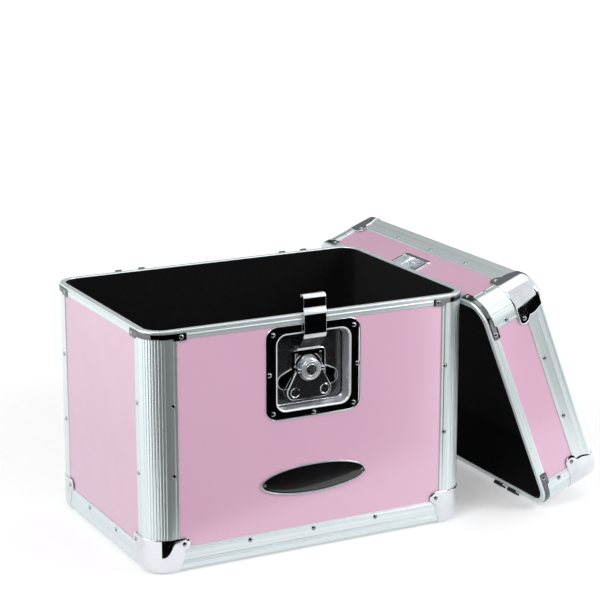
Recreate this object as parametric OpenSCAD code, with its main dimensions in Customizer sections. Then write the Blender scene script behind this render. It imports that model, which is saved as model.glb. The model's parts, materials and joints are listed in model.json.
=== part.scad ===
// Record carrying case: an open body with a recessed turn latch, and its lid lifted off and leaning
// on the body's right side. Millimetres, floor at z = 0, x to the right along the front, y to the back.

/* [Case] */
// Width across the front, over the metal
case_w = 376; // [330:1:440]
// Depth from front to back, over the metal
case_d = 262; // [220:1:320]
// Height of the body, from the floor to its rim
body_h = 260; // [225:1:320]
// Height of the lid, from its rim to its outer metal face
lid_h = 76; // [64:1:110]
// Outer radius of the four upright corners
corner_r = 25; // [20:0.5:28]
// Radius of the long edges of the edging
edge_r = 7.5; // [6.8:0.1:9]

/* [Walls] */
// Thickness of the laminated panels
panel_t = 5; // [4:0.5:6]
// Thickness of the metal that covers the panels' margins
skin_t = 1.2; // [0.8:0.1:1.5]
// Thickness of the lining
lining_t = 1.5; // [1:0.5:2.5]
// How far the lining ends below the rim
lining_drop = 0.8; // [0.5:0.1:2]

/* [Posts and edging] */
// Distance from the sharp corner to the edge of a post's flange
post_reach = 33; // [31:0.5:36]
// Wall of a post's outer and inner curve
post_wall = 1.6; // [1.2:0.1:1.8]
// Number of flutes round a post's corner
flute_count = 9; // [5:1:12]
// Radius of a flute
flute_r = 0.6; // [0.3:0.1:0.8]
// Height of the edging up a wall
edging_h = 27; // [22:1:32]

/* [Rim] */
// Thickness of the rim's top
rim_top_t = 2.5; // [1.5:0.5:3]
// Height of the rim's band down a wall
rim_band_h = 10; // [8:0.5:14]
// Distance from the rim to the line along its band
rim_line_drop = 4.4; // [3.5:0.1:6]
// Height of the line along the band
rim_line_h = 0.8; // [0.4:0.1:1.2]
// Depth of the line along the band
rim_line_depth = 0.4; // [0.2:0.1:0.6]

/* [Corner caps and clamps] */
// Thickness of the pressed corner pieces
cap_t = 1; // [0.6:0.1:1.5]
// Gap between those pieces and the metal under them
cap_gap = 0.05; // [0.02:0.01:0.1]
// Height of a cap up a post
cap_h = 37.5; // [33:0.5:45]
// Reach of a cap from the sharp corner
cap_reach = 38; // [36:0.5:44]
// Radius of the round tab that holds a cap's rivet
cap_tab_r = 7; // [5:0.5:8]
// Distance of the cap and clamp rivets from the sharp corner
tab_rivet_in = 37.5; // [36:0.5:42]
// Distance from the rim to the top of a clamp
clamp_drop = 2.8; // [2.6:0.1:4]
// Height of a clamp's strip
clamp_strip_h = 6; // [4:0.5:8]
// Height of a clamp's tab, from the top of the strip
clamp_tab_h = 8.5; // [8:0.1:12]
// Distance from the sharp corner to the near edge of a clamp's tab
clamp_tab_start = 28.5; // [27:0.5:32]
// Distance from the sharp corner to the far edge of a clamp's tab
clamp_tab_end = 43.5; // [42:0.5:48]

/* [Rivets] */
// Radius of a rivet's head
head_r = 2.6; // [2:0.1:3]
// Height of a rivet's head
head_h = 1.3; // [0.8:0.1:1.6]
// Radius of a rivet's shank
shank_r = 1.5; // [1:0.1:1.8]
// Gap between a shank and its hole
shank_gap = 0.05; // [0.02:0.01:0.1]
// Distance of the post rivets from the sharp corner
post_rivet_in = 28; // [27.8:0.1:30]
// Distance between a post's rivets
post_rivet_pitch = 75; // [40:1:90]
// Number of rivets down each flange of a body post
body_post_rivets = 2; // [1:1:3]
// Number of rivets down each flange of a lid post
lid_post_rivets = 1; // [0:1:1]
// Distance between the edging rivets
edging_rivet_pitch = 75; // [60:1:85]
// Number of rivets along the front and back edging
long_edging_rivets = 3; // [1:2:3]
// Number of rivets along the side edging
short_edging_rivets = 2; // [1:1:2]
// Height of the edging rivets above the edging's long edge
edging_rivet_h = 21.5; // [18:0.5:24]

/* [Latch dish] */
// Width of the dish's flange
dish_w = 112; // [100:1:130]
// Height of the dish's flange
dish_h = 102; // [95:1:110]
// Corner radius of the flange
dish_r = 14; // [8:1:20]
// Width of the recess
recess_w = 84; // [82:1:92]
// Height of the recess
recess_h = 80; // [79:1:86]
// Corner radius of the recess
recess_r = 10; // [5:1:14]
// Depth of the recess below the flange's face
recess_depth = 15; // [14.5:0.5:18]
// Thickness of the dish's sheet
dish_t = 1.2; // [0.8:0.1:1.2]
// Distance of the side and bottom rivets from the flange's edge
dish_rivet_edge = 4.3; // [4:0.1:5]
// Distance of the corner rivets from the flange's edges
dish_rivet_corner = 8.5; // [8:0.1:10]
// Gap between the flange and the rim's band, and round the recess in the wall
dish_gap = 0.3; // [0.2:0.1:1]

/* [Latch] */
// Distance of the spindle below the middle of the dish
spindle_drop = 1.7; // [0:0.1:2]
// Radius of the spindle's shaft
shaft_r = 4.5; // [3.5:0.5:5]
// Radial running gap of the shaft in its hole
shaft_gap = 0.06; // [0.03:0.01:0.1]
// Radius of the spindle's head
boss_r = 11.5; // [10:0.5:11.5]
// Height of the spindle's head, without its dome
boss_h = 6; // [5.5:0.5:6]
// Height of the dome on the head
boss_dome_h = 1.3; // [0.8:0.1:2]
// Offset of the cam that moves the hook
cam_throw = 5; // [3:0.25:5.5]
// Metal of the cam beside the shaft at its thinnest
cam_wall = 0.5; // [0.5:0.1:2]
// Gap between the cam and the sides of the hook's window
cam_side_gap = 0.4; // [0.3:0.1:1]
// Gap between the cam and the top and bottom of the hook's window
cam_end_gap = 1.4; // [1.3:0.1:2]
// Radius of the retaining collar behind the dish
collar_r = 8; // [7:0.5:10]
// Thickness of the retaining collar
collar_t = 2; // [1.5:0.5:3]
// Radial gap between the collar or the wing's pin and what it is pressed into
press_gap = 0.02; // [0.01:0.01:0.05]
// Gap between pieces stacked on the spindle
stack_gap = 0.3; // [0.2:0.1:0.5]
// Thickness of the base plate in the dish
base_t = 1.5; // [1:0.1:2]
// Radius of the base plate's middle
base_r = 17; // [14:1:20]
// Radius of the base plate's two ears
base_ear_r = 9; // [6:1:10]
// Sideways distance of an ear from the spindle
base_ear_x = 27; // [24:1:30]
// Distance of the ears below the spindle
base_ear_drop = 12; // [8:1:16]

/* [Hook] */
// Thickness of the hook's strap
hook_t = 1.5; // [1:0.1:2]
// Width of the strap
hook_w = 26; // [20:1:30]
// Height of the raised hook above the rim
hook_rise = 20; // [19:0.1:22]
// Metal round the hook's cam window
yoke_edge = 4.5; // [3:0.5:6]
// Gap between the spindle's head and the strap's slope when the hook is drawn down
hook_boss_gap = 1; // [0.5:0.1:3]
// Distance below the top of the recess at which the strap's slope ends
hook_edge_gap = 2.7; // [1:0.1:5]
// Gap between the strap and the body's front above the dish
hook_front_gap = 2; // [1:0.1:3]
// Height above the rim of the bend back towards the strike
hook_jog_h = 1; // [0.5:0.5:3]
// Height of that bend
hook_jog_rise = 3.5; // [2:0.5:5]
// Gap between the hook's upper part and the wall it lies against
hook_close_gap = 0.4; // [0.3:0.1:1]
// Reach of the hook's lip into the strike
hook_lip = 5; // [4:0.5:6]
// Drop of the lip's finger
hook_finger_h = 2.5; // [1.5:0.5:2.5]
// Gap between the lip and the strike when the hook is drawn down
hook_seat_gap = 0.2; // [0:0.1:0.5]

/* [Wing] */
// Thickness of the wing
wing_t = 1.5; // [1:0.1:1.6]
// Radius of a lobe
wing_lobe_r = 8.5; // [7:0.5:8.5]
// Sideways distance of a lobe from the middle
wing_lobe_x = 17.5; // [15:0.5:17.5]
// Distance of a lobe below the spindle
wing_lobe_drop = 24; // [20:0.5:24]
// Angle round a lobe at which the wing's straight side meets it
wing_side_angle = 20; // [0:5:40]
// Radius of the hole in one lobe
wing_hole_r = 3.5; // [2:0.5:4]
// Width of a wing ear along its pin
wing_ear_w = 3.5; // [3:0.1:4]
// Radius of a wing ear
wing_ear_r = 3; // [2.5:0.1:3]
// Gap between the spindle's head and the wing
wing_gap = 0.7; // [0.5:0.1:1]
// Radius of the wing's pin
wing_pin_r = 1.5; // [1:0.1:1.8]
// Radial running gap between the pin and the wing's ears
wing_pin_gap = 0.05; // [0.03:0.01:0.1]

/* [Badge] */
// Width of the oval badge
badge_w = 125; // [90:1:140]
// Height of the badge
badge_h = 34; // [24:1:40]
// Height of the badge's middle above the floor
badge_z = 80; // [75:1:90]
// Width of the badge's raised frame
badge_frame_w = 2.2; // [1.5:0.1:4]
// Thickness of the frame
badge_frame_t = 2.4; // [1.6:0.1:3]
// Thickness of the face inside the frame
badge_face_t = 1.4; // [0.8:0.1:1.5]
// Gap between the face and the frame
badge_gap = 0.05; // [0.02:0.01:0.2]
// Distance of the badge's rivets from its middle
badge_rivet_x = 58; // [30:1:58]
// Radius of the badge's small rivets
badge_rivet_r = 1.7; // [1:0.1:2]

/* [Strike plate] */
// Width of the strike plate
strike_w = 56; // [40:1:70]
// Distance from the lid's rim to the strike's near edge
strike_near = 4; // [3.5:0.1:5]
// Distance from the lid's rim to the strike's far edge
strike_top = 37; // [36:0.1:40]
// Corner radius of the strike plate
strike_r = 4; // [2:0.5:6]
// Width of the strike's pocket
strike_pocket_w = 46; // [32:1:50]
// Gap between the hook's finger and the end of the pocket behind its near edge
strike_finger_gap = 0.4; // [0.3:0.1:0.5]
// Distance from the lid's rim to the pocket's far edge
strike_pocket_top = 33; // [30:0.5:34]
// Depth of the pocket
strike_pocket_depth = 8.5; // [7:0.5:10]
// Radius of the strike's small rivets
strike_rivet_r = 1.8; // [1.2:0.1:1.8]
// Distance of those rivets from the strike's sides
strike_rivet_side = 2.4; // [2:0.1:3]
// Distance of those rivets from the strike's near and far edges
strike_rivet_end = 5; // [4:0.5:8]

/* [Hinges] */
// Distance of each hinge from the middle of the back
hinge_x = 103; // [90:1:112]
// Distance between a hinge's two fingers
hinge_pitch = 28; // [26:1:34]
// Width of a finger
finger_w = 15; // [12:1:16]
// Radius of a finger's end
finger_r = 1.5; // [1.4:0.1:1.8]
// Length of the pin on a finger
finger_pin_l = 7; // [5:1:9]
// Radius of the pin
hinge_pin_r = 1.25; // [1:0.05:1.5]
// Distance of the hinge line behind the back wall
hinge_out = 2.2; // [2:0.1:3]
// Distance of the hinge line below the rim
hinge_drop = 1.2; // [0.8:0.1:2]
// Height of a hinge leaf
leaf_h = 22; // [18:1:26]
// Thickness of a hinge leaf
leaf_t = 1.5; // [1:0.1:2]
// Distance of a leaf's rivets from its long edge
leaf_rivet_in = 5.5; // [4:0.5:7]
// Radial gap between a pin and its knuckle
hinge_gap = 0.06; // [0.03:0.01:0.1]

/* [Handle] */
// Distance between the handle's two mounts
handle_span = 108; // [90:1:130]
// Reach of the handle from its hinge line
handle_reach = 34; // [28:1:40]
// Radius of the bail's rod
bail_r = 3; // [2:0.5:4]
// Radius of the grip
grip_r = 7; // [6:0.5:9]
// Length of the grip
grip_l = 80; // [60:1:84]
// Gap between the folded grip and the lid
handle_gap = 0.5; // [0.3:0.1:2]
// Radius of the bail's two bends
bail_bend_r = 6; // [5:0.5:7]
// Radial running gap between the bail and its mounts
bail_gap = 0.06; // [0.03:0.01:0.1]
// Gap between the bail's arms and its mounts
bail_side_gap = 0.5; // [0.3:0.1:2]
// Radius of the grip's rounded ends
grip_end_r = 2; // [1:0.5:3]
// Wall of a mount round the bail
lug_wall = 2.2; // [1.5:0.1:3]
// Width of a mount along the hinge line
lug_w = 8; // [6:0.5:10]
// Length of a mount's foot
mount_foot_l = 34; // [30:1:40]
// Width of a mount's foot
mount_foot_w = 16; // [14:1:20]
// Corner radius of a mount's foot
mount_foot_r = 4; // [1:0.5:7]
// Thickness of a mount's foot
mount_foot_t = 1.5; // [1:0.1:2]
// Distance of a mount's rivets from the ends of its foot
mount_rivet_in = 5; // [4:0.5:7]

/* [Leaning lid] */
// Angle at which the lid leans
lean = 21.4; // [15:0.1:30]
// Distance of the lid's middle behind the body's middle
lean_y = 33; // [0:1:60]
// Gap between the lid's edge and the body
rest_gap = 0.3; // [0.2:0.1:1]

/* [Hidden] */
$fn = 64;

hw = case_w / 2;
hd = case_d / 2;
wall_t = skin_t + panel_t;
tray_h = body_h - cap_t;                // body's metal, above the caps that it stands on
over = 1;                               // how far a cutter runs past what it cuts
panel_y = hd - skin_t;                  // outer faces of the front and back panels

dish_z = body_h - rim_band_h - dish_gap - dish_h / 2;
latch_z = dish_z - spindle_drop;
latch_y = panel_y + dish_t - recess_depth;
cam_z = base_t + stack_gap;             // layers of the latch, above the floor of its recess
head_z = cam_z + hook_t + stack_gap;
pin_z = head_z + boss_h / 2;
wing_ear_x = boss_r + wing_gap;
cam_r = shaft_r + cam_throw + cam_wall;
hook_bend_h = boss_r + 2 * cam_throw + hook_boss_gap;
hook_slope_h = recess_h / 2 + spindle_drop - hook_edge_gap - hook_bend_h;
// distance from the lid's rim to the pocket's near edge, which the hook pulls on, and how far the
// pocket runs on behind that edge
strike_lip = hook_rise - hook_t - 2 * cam_throw - hook_seat_gap;
strike_undercut = hook_finger_h - hook_seat_gap + strike_finger_gap;

leaf_w = hinge_pitch + finger_w + finger_pin_l;
leaf_rivet_h = leaf_h - leaf_rivet_in;
handle_axis_h = grip_r + handle_gap;
bail_x = handle_span / 2 - lug_w / 2 - bail_side_gap - bail_r;

// a lower body makes the lid lean more, so that its upper edge still rests on the body's rim band
lid_lean = max(lean, acos(min(1, (body_h - rim_band_h) / case_d)));
foot_x = hw + rest_gap + case_d * sin(lid_lean);
foot_z = hinge_out * cos(lid_lean) + hinge_drop * sin(lid_lean) + finger_r;
// middle of the floor that body and lid cover together, out to the heads of the caps' rivets
lid_out = hw + cap_t + head_h;
body_out = hd + cap_t + head_h;
mid_x = (foot_x + (lid_h - edge_r) * cos(lid_lean) + edge_r * (1 - sin(lid_lean)) - hw - head_h) / 2;
mid_y = (max(lean_y + lid_out, body_out) + min(lean_y - lid_out, -body_out)) / 2;

pink = [0.86, 0.66, 0.76];
alloy = [0.76, 0.79, 0.8];
chrome = [0.62, 0.63, 0.66];
felt = [0.05, 0.05, 0.055];
black = [0.04, 0.04, 0.05];

// ---- shared shapes ----

module round_rect(w, d, r) {
    square([w - 2 * r, d], center = true);
    square([w, d - 2 * r], center = true);
    for (x = [-1, 1], y = [-1, 1])
        translate([x * (w / 2 - r), y * (d / 2 - r)])
            circle(r);
}

// plan of the case, drawn in by inset from the outer metal
module plan(inset) {
    round_rect(case_w - 2 * inset, case_d - 2 * inset, corner_r - inset);
}

module rivet(shank_l, r = head_r, h = head_h) {
    dome_r = (r * r + h * h) / (2 * h);
    rotate_extrude()
        intersection() {
            translate([0, h - dome_r])
                circle(dome_r);
            square([r, h]);
        }
    translate([0, 0, -shank_l])
        cylinder(r = shank_r * r / head_r, h = shank_l);
}

module rivet_hole(depth, r = head_r) {
    translate([0, 0, -depth - over])
        cylinder(r = shank_r * r / head_r + shank_gap, h = depth + 2 * over);
}

// places on the outer metal faces, with local z pointing outwards
module on_front(x, z) {
    translate([x, -hd, z])
        rotate([90, 0, 0])
            children();
}

module on_back(x, z) {
    translate([x, hd, z])
        rotate([-90, 0, 0])
            children();
}

module on_right(y, z) {
    translate([hw, y, z])
        rotate([0, 90, 0])
            children();
}

// corner pieces are drawn at the back right and mirrored to the other corners
module at_side(sx) {
    if (sx < 0)
        mirror([1, 0, 0])
            children();
    else
        children();
}

module at_corner(sx, sy) {
    if (sy < 0)
        mirror([0, 1, 0])
            at_side(sx)
                children();
    else
        at_side(sx)
            children();
}

// ---- pieces that the body and the lid share: a tray of height h, closed at z = 0, open at z = h ----

module long_panel(h) {
    translate([-(hw - corner_r), hd - wall_t, edge_r])
        cube([2 * (hw - corner_r), panel_t, h - rim_top_t - edge_r]);
}

module short_panel(h) {
    translate([hw - wall_t, -(hd - corner_r), edge_r])
        cube([panel_t, 2 * (hd - corner_r), h - rim_top_t - edge_r]);
}

module floor_panel() {
    translate([0, 0, skin_t])
        linear_extrude(panel_t)
            plan(edge_r);
}

module lining(h) {
    difference() {
        translate([0, 0, wall_t])
            linear_extrude(h - lining_drop - wall_t)
                plan(wall_t);
        translate([0, 0, wall_t + lining_t])
            linear_extrude(h)
                plan(wall_t + lining_t);
    }
}

module rim(h) {
    difference() {
        union() {
            translate([0, 0, h - rim_top_t])
                linear_extrude(rim_top_t)
                    difference() {
                        plan(0);
                        plan(wall_t);
                    }
            for (s = [-1, 1]) {
                translate([-(hw - post_reach), s > 0 ? hd - skin_t : -hd, h - rim_band_h])
                    cube([2 * (hw - post_reach), skin_t, rim_band_h - rim_top_t]);
                translate([s > 0 ? hw - skin_t : -hw, -(hd - post_reach), h - rim_band_h])
                    cube([skin_t, 2 * (hd - post_reach), rim_band_h - rim_top_t]);
            }
        }
        for (s = [-1, 1]) {
            translate([-(hw - post_reach), s * hd - rim_line_depth, h - rim_line_drop - rim_line_h])
                cube([2 * (hw - post_reach), 2 * rim_line_depth, rim_line_h]);
            translate([s * hw - rim_line_depth, -(hd - post_reach), h - rim_line_drop - rim_line_h])
                cube([2 * rim_line_depth, 2 * (hd - post_reach), rim_line_h]);
        }
    }
}

module post_section() {
    translate([hw - corner_r, hd - corner_r])
        difference() {
            intersection() {
                circle(corner_r);
                square(corner_r);
            }
            circle(corner_r - wall_t);
            intersection() {
                difference() {
                    circle(corner_r - post_wall);
                    circle(corner_r - wall_t + post_wall);
                }
                translate([post_wall, post_wall])
                    square(corner_r);
            }
            for (i = [1 : flute_count])
                rotate(90 * i / (flute_count + 1))
                    translate([corner_r + flute_r / 3, 0])
                        circle(flute_r);
        }
    translate([hw - post_reach, hd - skin_t])
        square([post_reach - corner_r, skin_t]);
    translate([hw - skin_t, hd - post_reach])
        square([skin_t, post_reach - corner_r]);
}

// heights of the post rivets, on both sides of the middle between the cap and the clamp
function post_rivet_zs(h, count) =
    [for (i = [0 : count - 1])
        (cap_h + h - clamp_drop - clamp_tab_h) / 2 + (i - (count - 1) / 2) * post_rivet_pitch];

module post_rivet_places(h, count) {
    for (z = post_rivet_zs(h, count)) {
        on_back(hw - post_rivet_in, z)
            children();
        on_right(hd - post_rivet_in, z)
            children();
    }
}

module post(h, rivet_count) {
    difference() {
        translate([0, 0, edge_r])
            linear_extrude(h - rim_top_t - edge_r)
                post_section();
        post_rivet_places(h, rivet_count)
            rivet_hole(skin_t);
    }
}

// edging across a wall: a rounded box channel with a leg up the wall and a leg under the floor
module edging_section() {
    difference() {
        union() {
            square([skin_t, edging_h]);
            square([edging_h, skin_t]);
            square(edge_r);
        }
        difference() {
            translate([-over, -over])
                square(edge_r + over);
            translate([edge_r, edge_r])
                circle(edge_r);
        }
        intersection() {
            translate([edge_r, edge_r])
                circle(edge_r - skin_t);
            translate([skin_t, skin_t])
                square(edge_r - 2 * skin_t);
        }
        translate([wall_t, wall_t])
            square(edging_h);
    }
}

function edging_rivet_xs(count) =
    [for (i = [0 : count - 1]) (i - (count - 1) / 2) * edging_rivet_pitch];

module long_edging() {
    half = hw - post_reach;
    difference() {
        translate([half, hd, 0])
            rotate([90, 0, -90])
                linear_extrude(2 * half)
                    edging_section();
        for (x = edging_rivet_xs(long_edging_rivets))
            on_back(x, edging_rivet_h)
                rivet_hole(skin_t);
    }
}

module short_edging() {
    half = hd - post_reach;
    difference() {
        translate([hw, -half, 0])
            rotate([90, 0, 180])
                linear_extrude(2 * half)
                    edging_section();
        for (y = edging_rivet_xs(short_edging_rivets))
            on_right(y, edging_rivet_h)
                rivet_hole(skin_t);
    }
}

// section of the metal's outside near a corner, grown outwards by g, from x = start
module cap_profile(g, start) {
    difference() {
        translate([start, -g])
            square([corner_r + g - start, cap_h + 2 * over]);
        translate([corner_r - edge_r, -g])
            difference() {
                square(edge_r + g + over);
                translate([0, edge_r + g])
                    circle(edge_r + g);
                translate([-over, edge_r + g])
                    square(edge_r + g + 3 * over);
            }
    }
}

module cap_form(g, reach) {
    translate([hw - corner_r, hd - corner_r, 0]) {
        rotate_extrude()
            cap_profile(g, 0);
        translate([corner_r - reach, 0, 0])
            rotate([90, 0, 90])
                linear_extrude(reach - corner_r)
                    cap_profile(g, corner_r - reach);
        rotate([90, 0, 0])
            linear_extrude(reach - corner_r)
                cap_profile(g, corner_r - reach);
    }
}

// outline of a cap's side: a straight skirt and the round tab that holds the rivet
module cap_side() {
    translate([corner_r - over, -cap_t - over])
        square([cap_reach - corner_r + over, cap_h + cap_t + over]);
    translate([tab_rivet_in, cap_h - cap_tab_r])
        circle(cap_tab_r);
}

module cap() {
    reach = tab_rivet_in + cap_tab_r + over;
    difference() {
        intersection() {
            difference() {
                cap_form(cap_t, reach);
                cap_form(cap_gap, reach + over);
            }
            union() {
                translate([hw, hd + cap_t + over, 0])
                    rotate([90, 0, 0])
                        linear_extrude(edge_r + cap_t + over)
                            mirror([1, 0])
                                cap_side();
                translate([hw + cap_t + over, hd, 0])
                    rotate([90, 0, -90])
                        linear_extrude(edge_r + cap_t + over)
                            cap_side();
                translate([hw - corner_r, hd - corner_r, -cap_t - over])
                    cube([corner_r + cap_t + over, corner_r + cap_t + over, cap_h + cap_t + over]);
                translate([hw - cap_reach, hd - cap_reach, -cap_t - over])
                    cube([cap_reach + cap_t + over, cap_reach + cap_t + over, cap_t + 2 * over]);
            }
        }
        cap_rivet_places()
            rivet_hole(cap_t);
    }
}

module cap_rivet_places() {
    on_back(hw - tab_rivet_in, cap_h - cap_tab_r)
        translate([0, 0, cap_t])
            children();
    on_right(hd - tab_rivet_in, cap_h - cap_tab_r)
        translate([0, 0, cap_t])
            children();
}

// plan of the sheet that wraps a corner, out to a given distance from the sharp corner
module wrap_plan(start, end) {
    translate([hw - corner_r, hd - corner_r])
        difference() {
            union() {
                intersection() {
                    circle(corner_r + cap_t);
                    square(corner_r + cap_t);
                }
                translate([corner_r - end, 0])
                    square([end - corner_r, corner_r + cap_t]);
                translate([0, corner_r - end])
                    square([corner_r + cap_t, end - corner_r]);
            }
            circle(corner_r + cap_gap);
            translate([corner_r - end - over, corner_r - end - over])
                square([end - corner_r + over, end + over + cap_gap]);
            translate([corner_r - end - over, corner_r - end - over])
                square([end + over + cap_gap, end - corner_r + over]);
            if (start > 0)
                translate([corner_r - start, corner_r - start])
                    square(start + 2 * cap_t);
        }
}

module clamp(h) {
    top = h - clamp_drop;
    difference() {
        union() {
            translate([0, 0, top - clamp_strip_h])
                linear_extrude(clamp_strip_h)
                    wrap_plan(0, clamp_tab_end);
            translate([0, 0, top - clamp_tab_h])
                linear_extrude(clamp_tab_h)
                    wrap_plan(clamp_tab_start, clamp_tab_end);
        }
        clamp_rivet_places(h)
            rivet_hole(cap_t);
    }
}

module clamp_rivet_places(h) {
    z = h - clamp_drop - clamp_tab_h / 2;
    on_back(hw - tab_rivet_in, z)
        translate([0, 0, cap_t])
            children();
    on_right(hd - tab_rivet_in, z)
        translate([0, 0, cap_t])
            children();
}

module clamps(h) {
    for (sx = [-1, 1], sy = [-1, 1])
        at_corner(sx, sy)
            clamp(h);
}

// every rivet of a tray's posts, edging, caps and clamps
module tray_rivets(h, post_count) {
    for (sx = [-1, 1], sy = [-1, 1])
        at_corner(sx, sy) {
            post_rivet_places(h, post_count)
                rivet(skin_t);
            cap_rivet_places()
                rivet(cap_t);
            clamp_rivet_places(h)
                rivet(cap_t);
        }
    for (s = [-1, 1]) {
        at_corner(1, s)
            for (x = edging_rivet_xs(long_edging_rivets))
                on_back(x, edging_rivet_h)
                    rivet(skin_t);
        at_side(s)
            for (y = edging_rivet_xs(short_edging_rivets))
                on_right(y, edging_rivet_h)
                    rivet(skin_t);
    }
}

module on_body() {
    translate([0, 0, cap_t])
        children();
}

// ---- latch: z outwards from the floor of its recess, y upwards, the spindle at the origin ----

module in_latch() {
    translate([0, -latch_y, latch_z])
        rotate([90, 0, 0])
            children();
}

// outline of the recess, grown by g
module recess_outline(g) {
    translate([0, spindle_drop])
        round_rect(recess_w + 2 * g, recess_h + 2 * g, recess_r + g);
}

module recess_cut() {
    in_latch()
        linear_extrude(recess_depth)
            recess_outline(dish_t + dish_gap);
}

module dish_rivet_places() {
    side = dish_w / 2 - dish_rivet_edge;
    end = dish_h / 2 - dish_rivet_edge;
    corner = [dish_w / 2 - dish_rivet_corner, dish_h / 2 - dish_rivet_corner];
    for (p = [[-side, 0], [side, 0], [0, -end], [0, end]])
        translate([p[0], spindle_drop + p[1], recess_depth])
            children();
    for (x = [-1, 1], y = [-1, 1])
        translate([x * corner[0], spindle_drop + y * corner[1], recess_depth])
            children();
}

module dish() {
    difference() {
        union() {
            translate([0, spindle_drop, recess_depth - dish_t])
                linear_extrude(dish_t)
                    round_rect(dish_w, dish_h, dish_r);
            translate([0, 0, -dish_t])
                linear_extrude(recess_depth)
                    recess_outline(dish_t);
        }
        linear_extrude(recess_depth + over)
            recess_outline(0);
        translate([0, 0, -dish_t - over])
            cylinder(r = shaft_r + shaft_gap, h = dish_t + 2 * over);
        dish_rivet_places()
            rivet_hole(dish_t);
    }
}

module base_plate() {
    arm = norm([base_ear_x, base_ear_drop]);
    arm_angle = atan2(base_ear_drop, base_ear_x);
    difference() {
        linear_extrude(base_t)
            union() {
                circle(base_r);
                for (s = [0, 1])
                    mirror([s, 0])
                        rotate(-arm_angle) {
                            translate([arm, 0])
                                circle(base_ear_r);
                            translate([0, -base_ear_r])
                                square([arm, 2 * base_ear_r]);
                        }
            }
        translate([0, 0, -over])
            cylinder(r = shaft_r + shaft_gap, h = base_t + 2 * over);
    }
}

module along_pin(x, l, r) {
    translate([x, 0, pin_z])
        rotate([0, 90, 0])
            cylinder(r = r, h = l);
}

// shaft, cam and round head in one piece
module spindle() {
    tail = dish_t + 2 * stack_gap + collar_t;
    dome_r = (boss_r * boss_r + boss_dome_h * boss_dome_h) / (2 * boss_dome_h);
    difference() {
        union() {
            translate([0, 0, -tail])
                cylinder(r = shaft_r, h = tail + head_z);
            translate([0, cam_throw, cam_z])
                cylinder(r = cam_r, h = hook_t);
            translate([0, 0, head_z])
                cylinder(r = boss_r, h = boss_h);
            translate([0, 0, head_z + boss_h])
                rotate_extrude()
                    intersection() {
                        translate([0, boss_dome_h - dome_r])
                            circle(dome_r);
                        square([boss_r, boss_dome_h]);
                    }
        }
        along_pin(-boss_r - over, 2 * (boss_r + over), wing_pin_r + press_gap);
    }
}

module collar() {
    translate([0, 0, -dish_t - stack_gap - collar_t])
        difference() {
            cylinder(r = collar_r, h = collar_t);
            translate([0, 0, -over])
                cylinder(r = shaft_r + press_gap, h = collar_t + 2 * over);
        }
}

// wing: two ears on the pin, a plate that goes round the head, and a lobe on each side
module wing_outline() {
    end_x = wing_ear_x + wing_ear_w;
    bottom = wing_lobe_drop + wing_lobe_r;
    difference() {
        union() {
            for (s = [0, 1])
                mirror([s, 0]) {
                    polygon([[0, 0], [end_x, 0], [end_x, -wing_ear_r],
                        [wing_lobe_x + wing_lobe_r * cos(wing_side_angle),
                            wing_lobe_r * sin(wing_side_angle) - wing_lobe_drop],
                        [wing_lobe_x, -bottom], [0, -bottom]]);
                    translate([wing_lobe_x, -wing_lobe_drop])
                        circle(wing_lobe_r);
                }
        }
        circle(wing_ear_x);
        translate([wing_lobe_x, -wing_lobe_drop])
            circle(wing_hole_r);
    }
}

module wing() {
    difference() {
        union() {
            translate([0, 0, pin_z - wing_ear_r])
                linear_extrude(wing_t)
                    wing_outline();
            for (s = [0, 1])
                mirror([s, 0, 0])
                    along_pin(wing_ear_x, wing_ear_w, wing_ear_r);
        }
        along_pin(-wing_ear_x - wing_ear_w - over, 2 * (wing_ear_x + wing_ear_w + over),
            wing_pin_r + wing_pin_gap);
    }
}

// side view of the strap: outwards, upwards
module strap_profile() {
    floor_out = cam_z;
    front_out = recess_depth + hook_front_gap;
    close_out = recess_depth + hook_close_gap;
    slope_top = hook_bend_h + hook_slope_h;
    jog = body_h - latch_z + hook_jog_h;
    top = body_h - latch_z + hook_rise;
    slope_shift = hook_t * tan(atan2(front_out - floor_out, hook_slope_h) / 2);
    jog_shift = hook_t * tan(atan2(front_out - close_out, hook_jog_rise) / 2);
    polygon([
        [floor_out, cam_throw + cam_r],
        [floor_out, hook_bend_h],
        [front_out, slope_top],
        [front_out, jog],
        [close_out, jog + hook_jog_rise],
        [close_out, top - hook_t],
        [close_out - hook_lip + hook_t, top - hook_t],
        [close_out - hook_lip + hook_t, top - hook_t - hook_finger_h],
        [close_out - hook_lip, top - hook_t - hook_finger_h],
        [close_out - hook_lip, top],
        [close_out + hook_t, top],
        [close_out + hook_t, jog + hook_jog_rise + jog_shift],
        [front_out + hook_t, jog + jog_shift],
        [front_out + hook_t, slope_top - slope_shift],
        [floor_out + hook_t, hook_bend_h - slope_shift],
        [floor_out + hook_t, cam_throw + cam_r]
    ]);
}

module hook() {
    window = [2 * (cam_r + cam_throw + cam_side_gap), 2 * (cam_r + cam_end_gap)];
    difference() {
        union() {
            translate([0, cam_throw, cam_z])
                linear_extrude(hook_t)
                    round_rect(window[0] + 2 * yoke_edge, window[1] + 2 * yoke_edge, yoke_edge);
            translate([hook_w / 2, 0, 0])
                rotate([0, -90, 0])
                    linear_extrude(hook_w)
                        strap_profile();
        }
        translate([0, cam_throw, cam_z - over])
            linear_extrude(hook_t + 2 * over)
                square(window, center = true);
    }
}

// ---- badge ----

module badge_oval(inset) {
    scale([(badge_w - 2 * inset) / (badge_h - 2 * inset), 1])
        circle(badge_h / 2 - inset);
}

// z outwards from the panel
module in_badge() {
    on_front(0, badge_z)
        translate([0, 0, -skin_t])
            children();
}

module badge_rivet_places() {
    for (s = [-1, 1])
        translate([s * badge_rivet_x, 0, badge_face_t])
            children();
}

// ---- hinges: fingers with a pin on the lid slip sideways into knuckles on the body ----

// left edge of each finger
function finger_xs() = [for (i = [0, 1]) -leaf_w / 2 + i * hinge_pitch];

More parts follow.
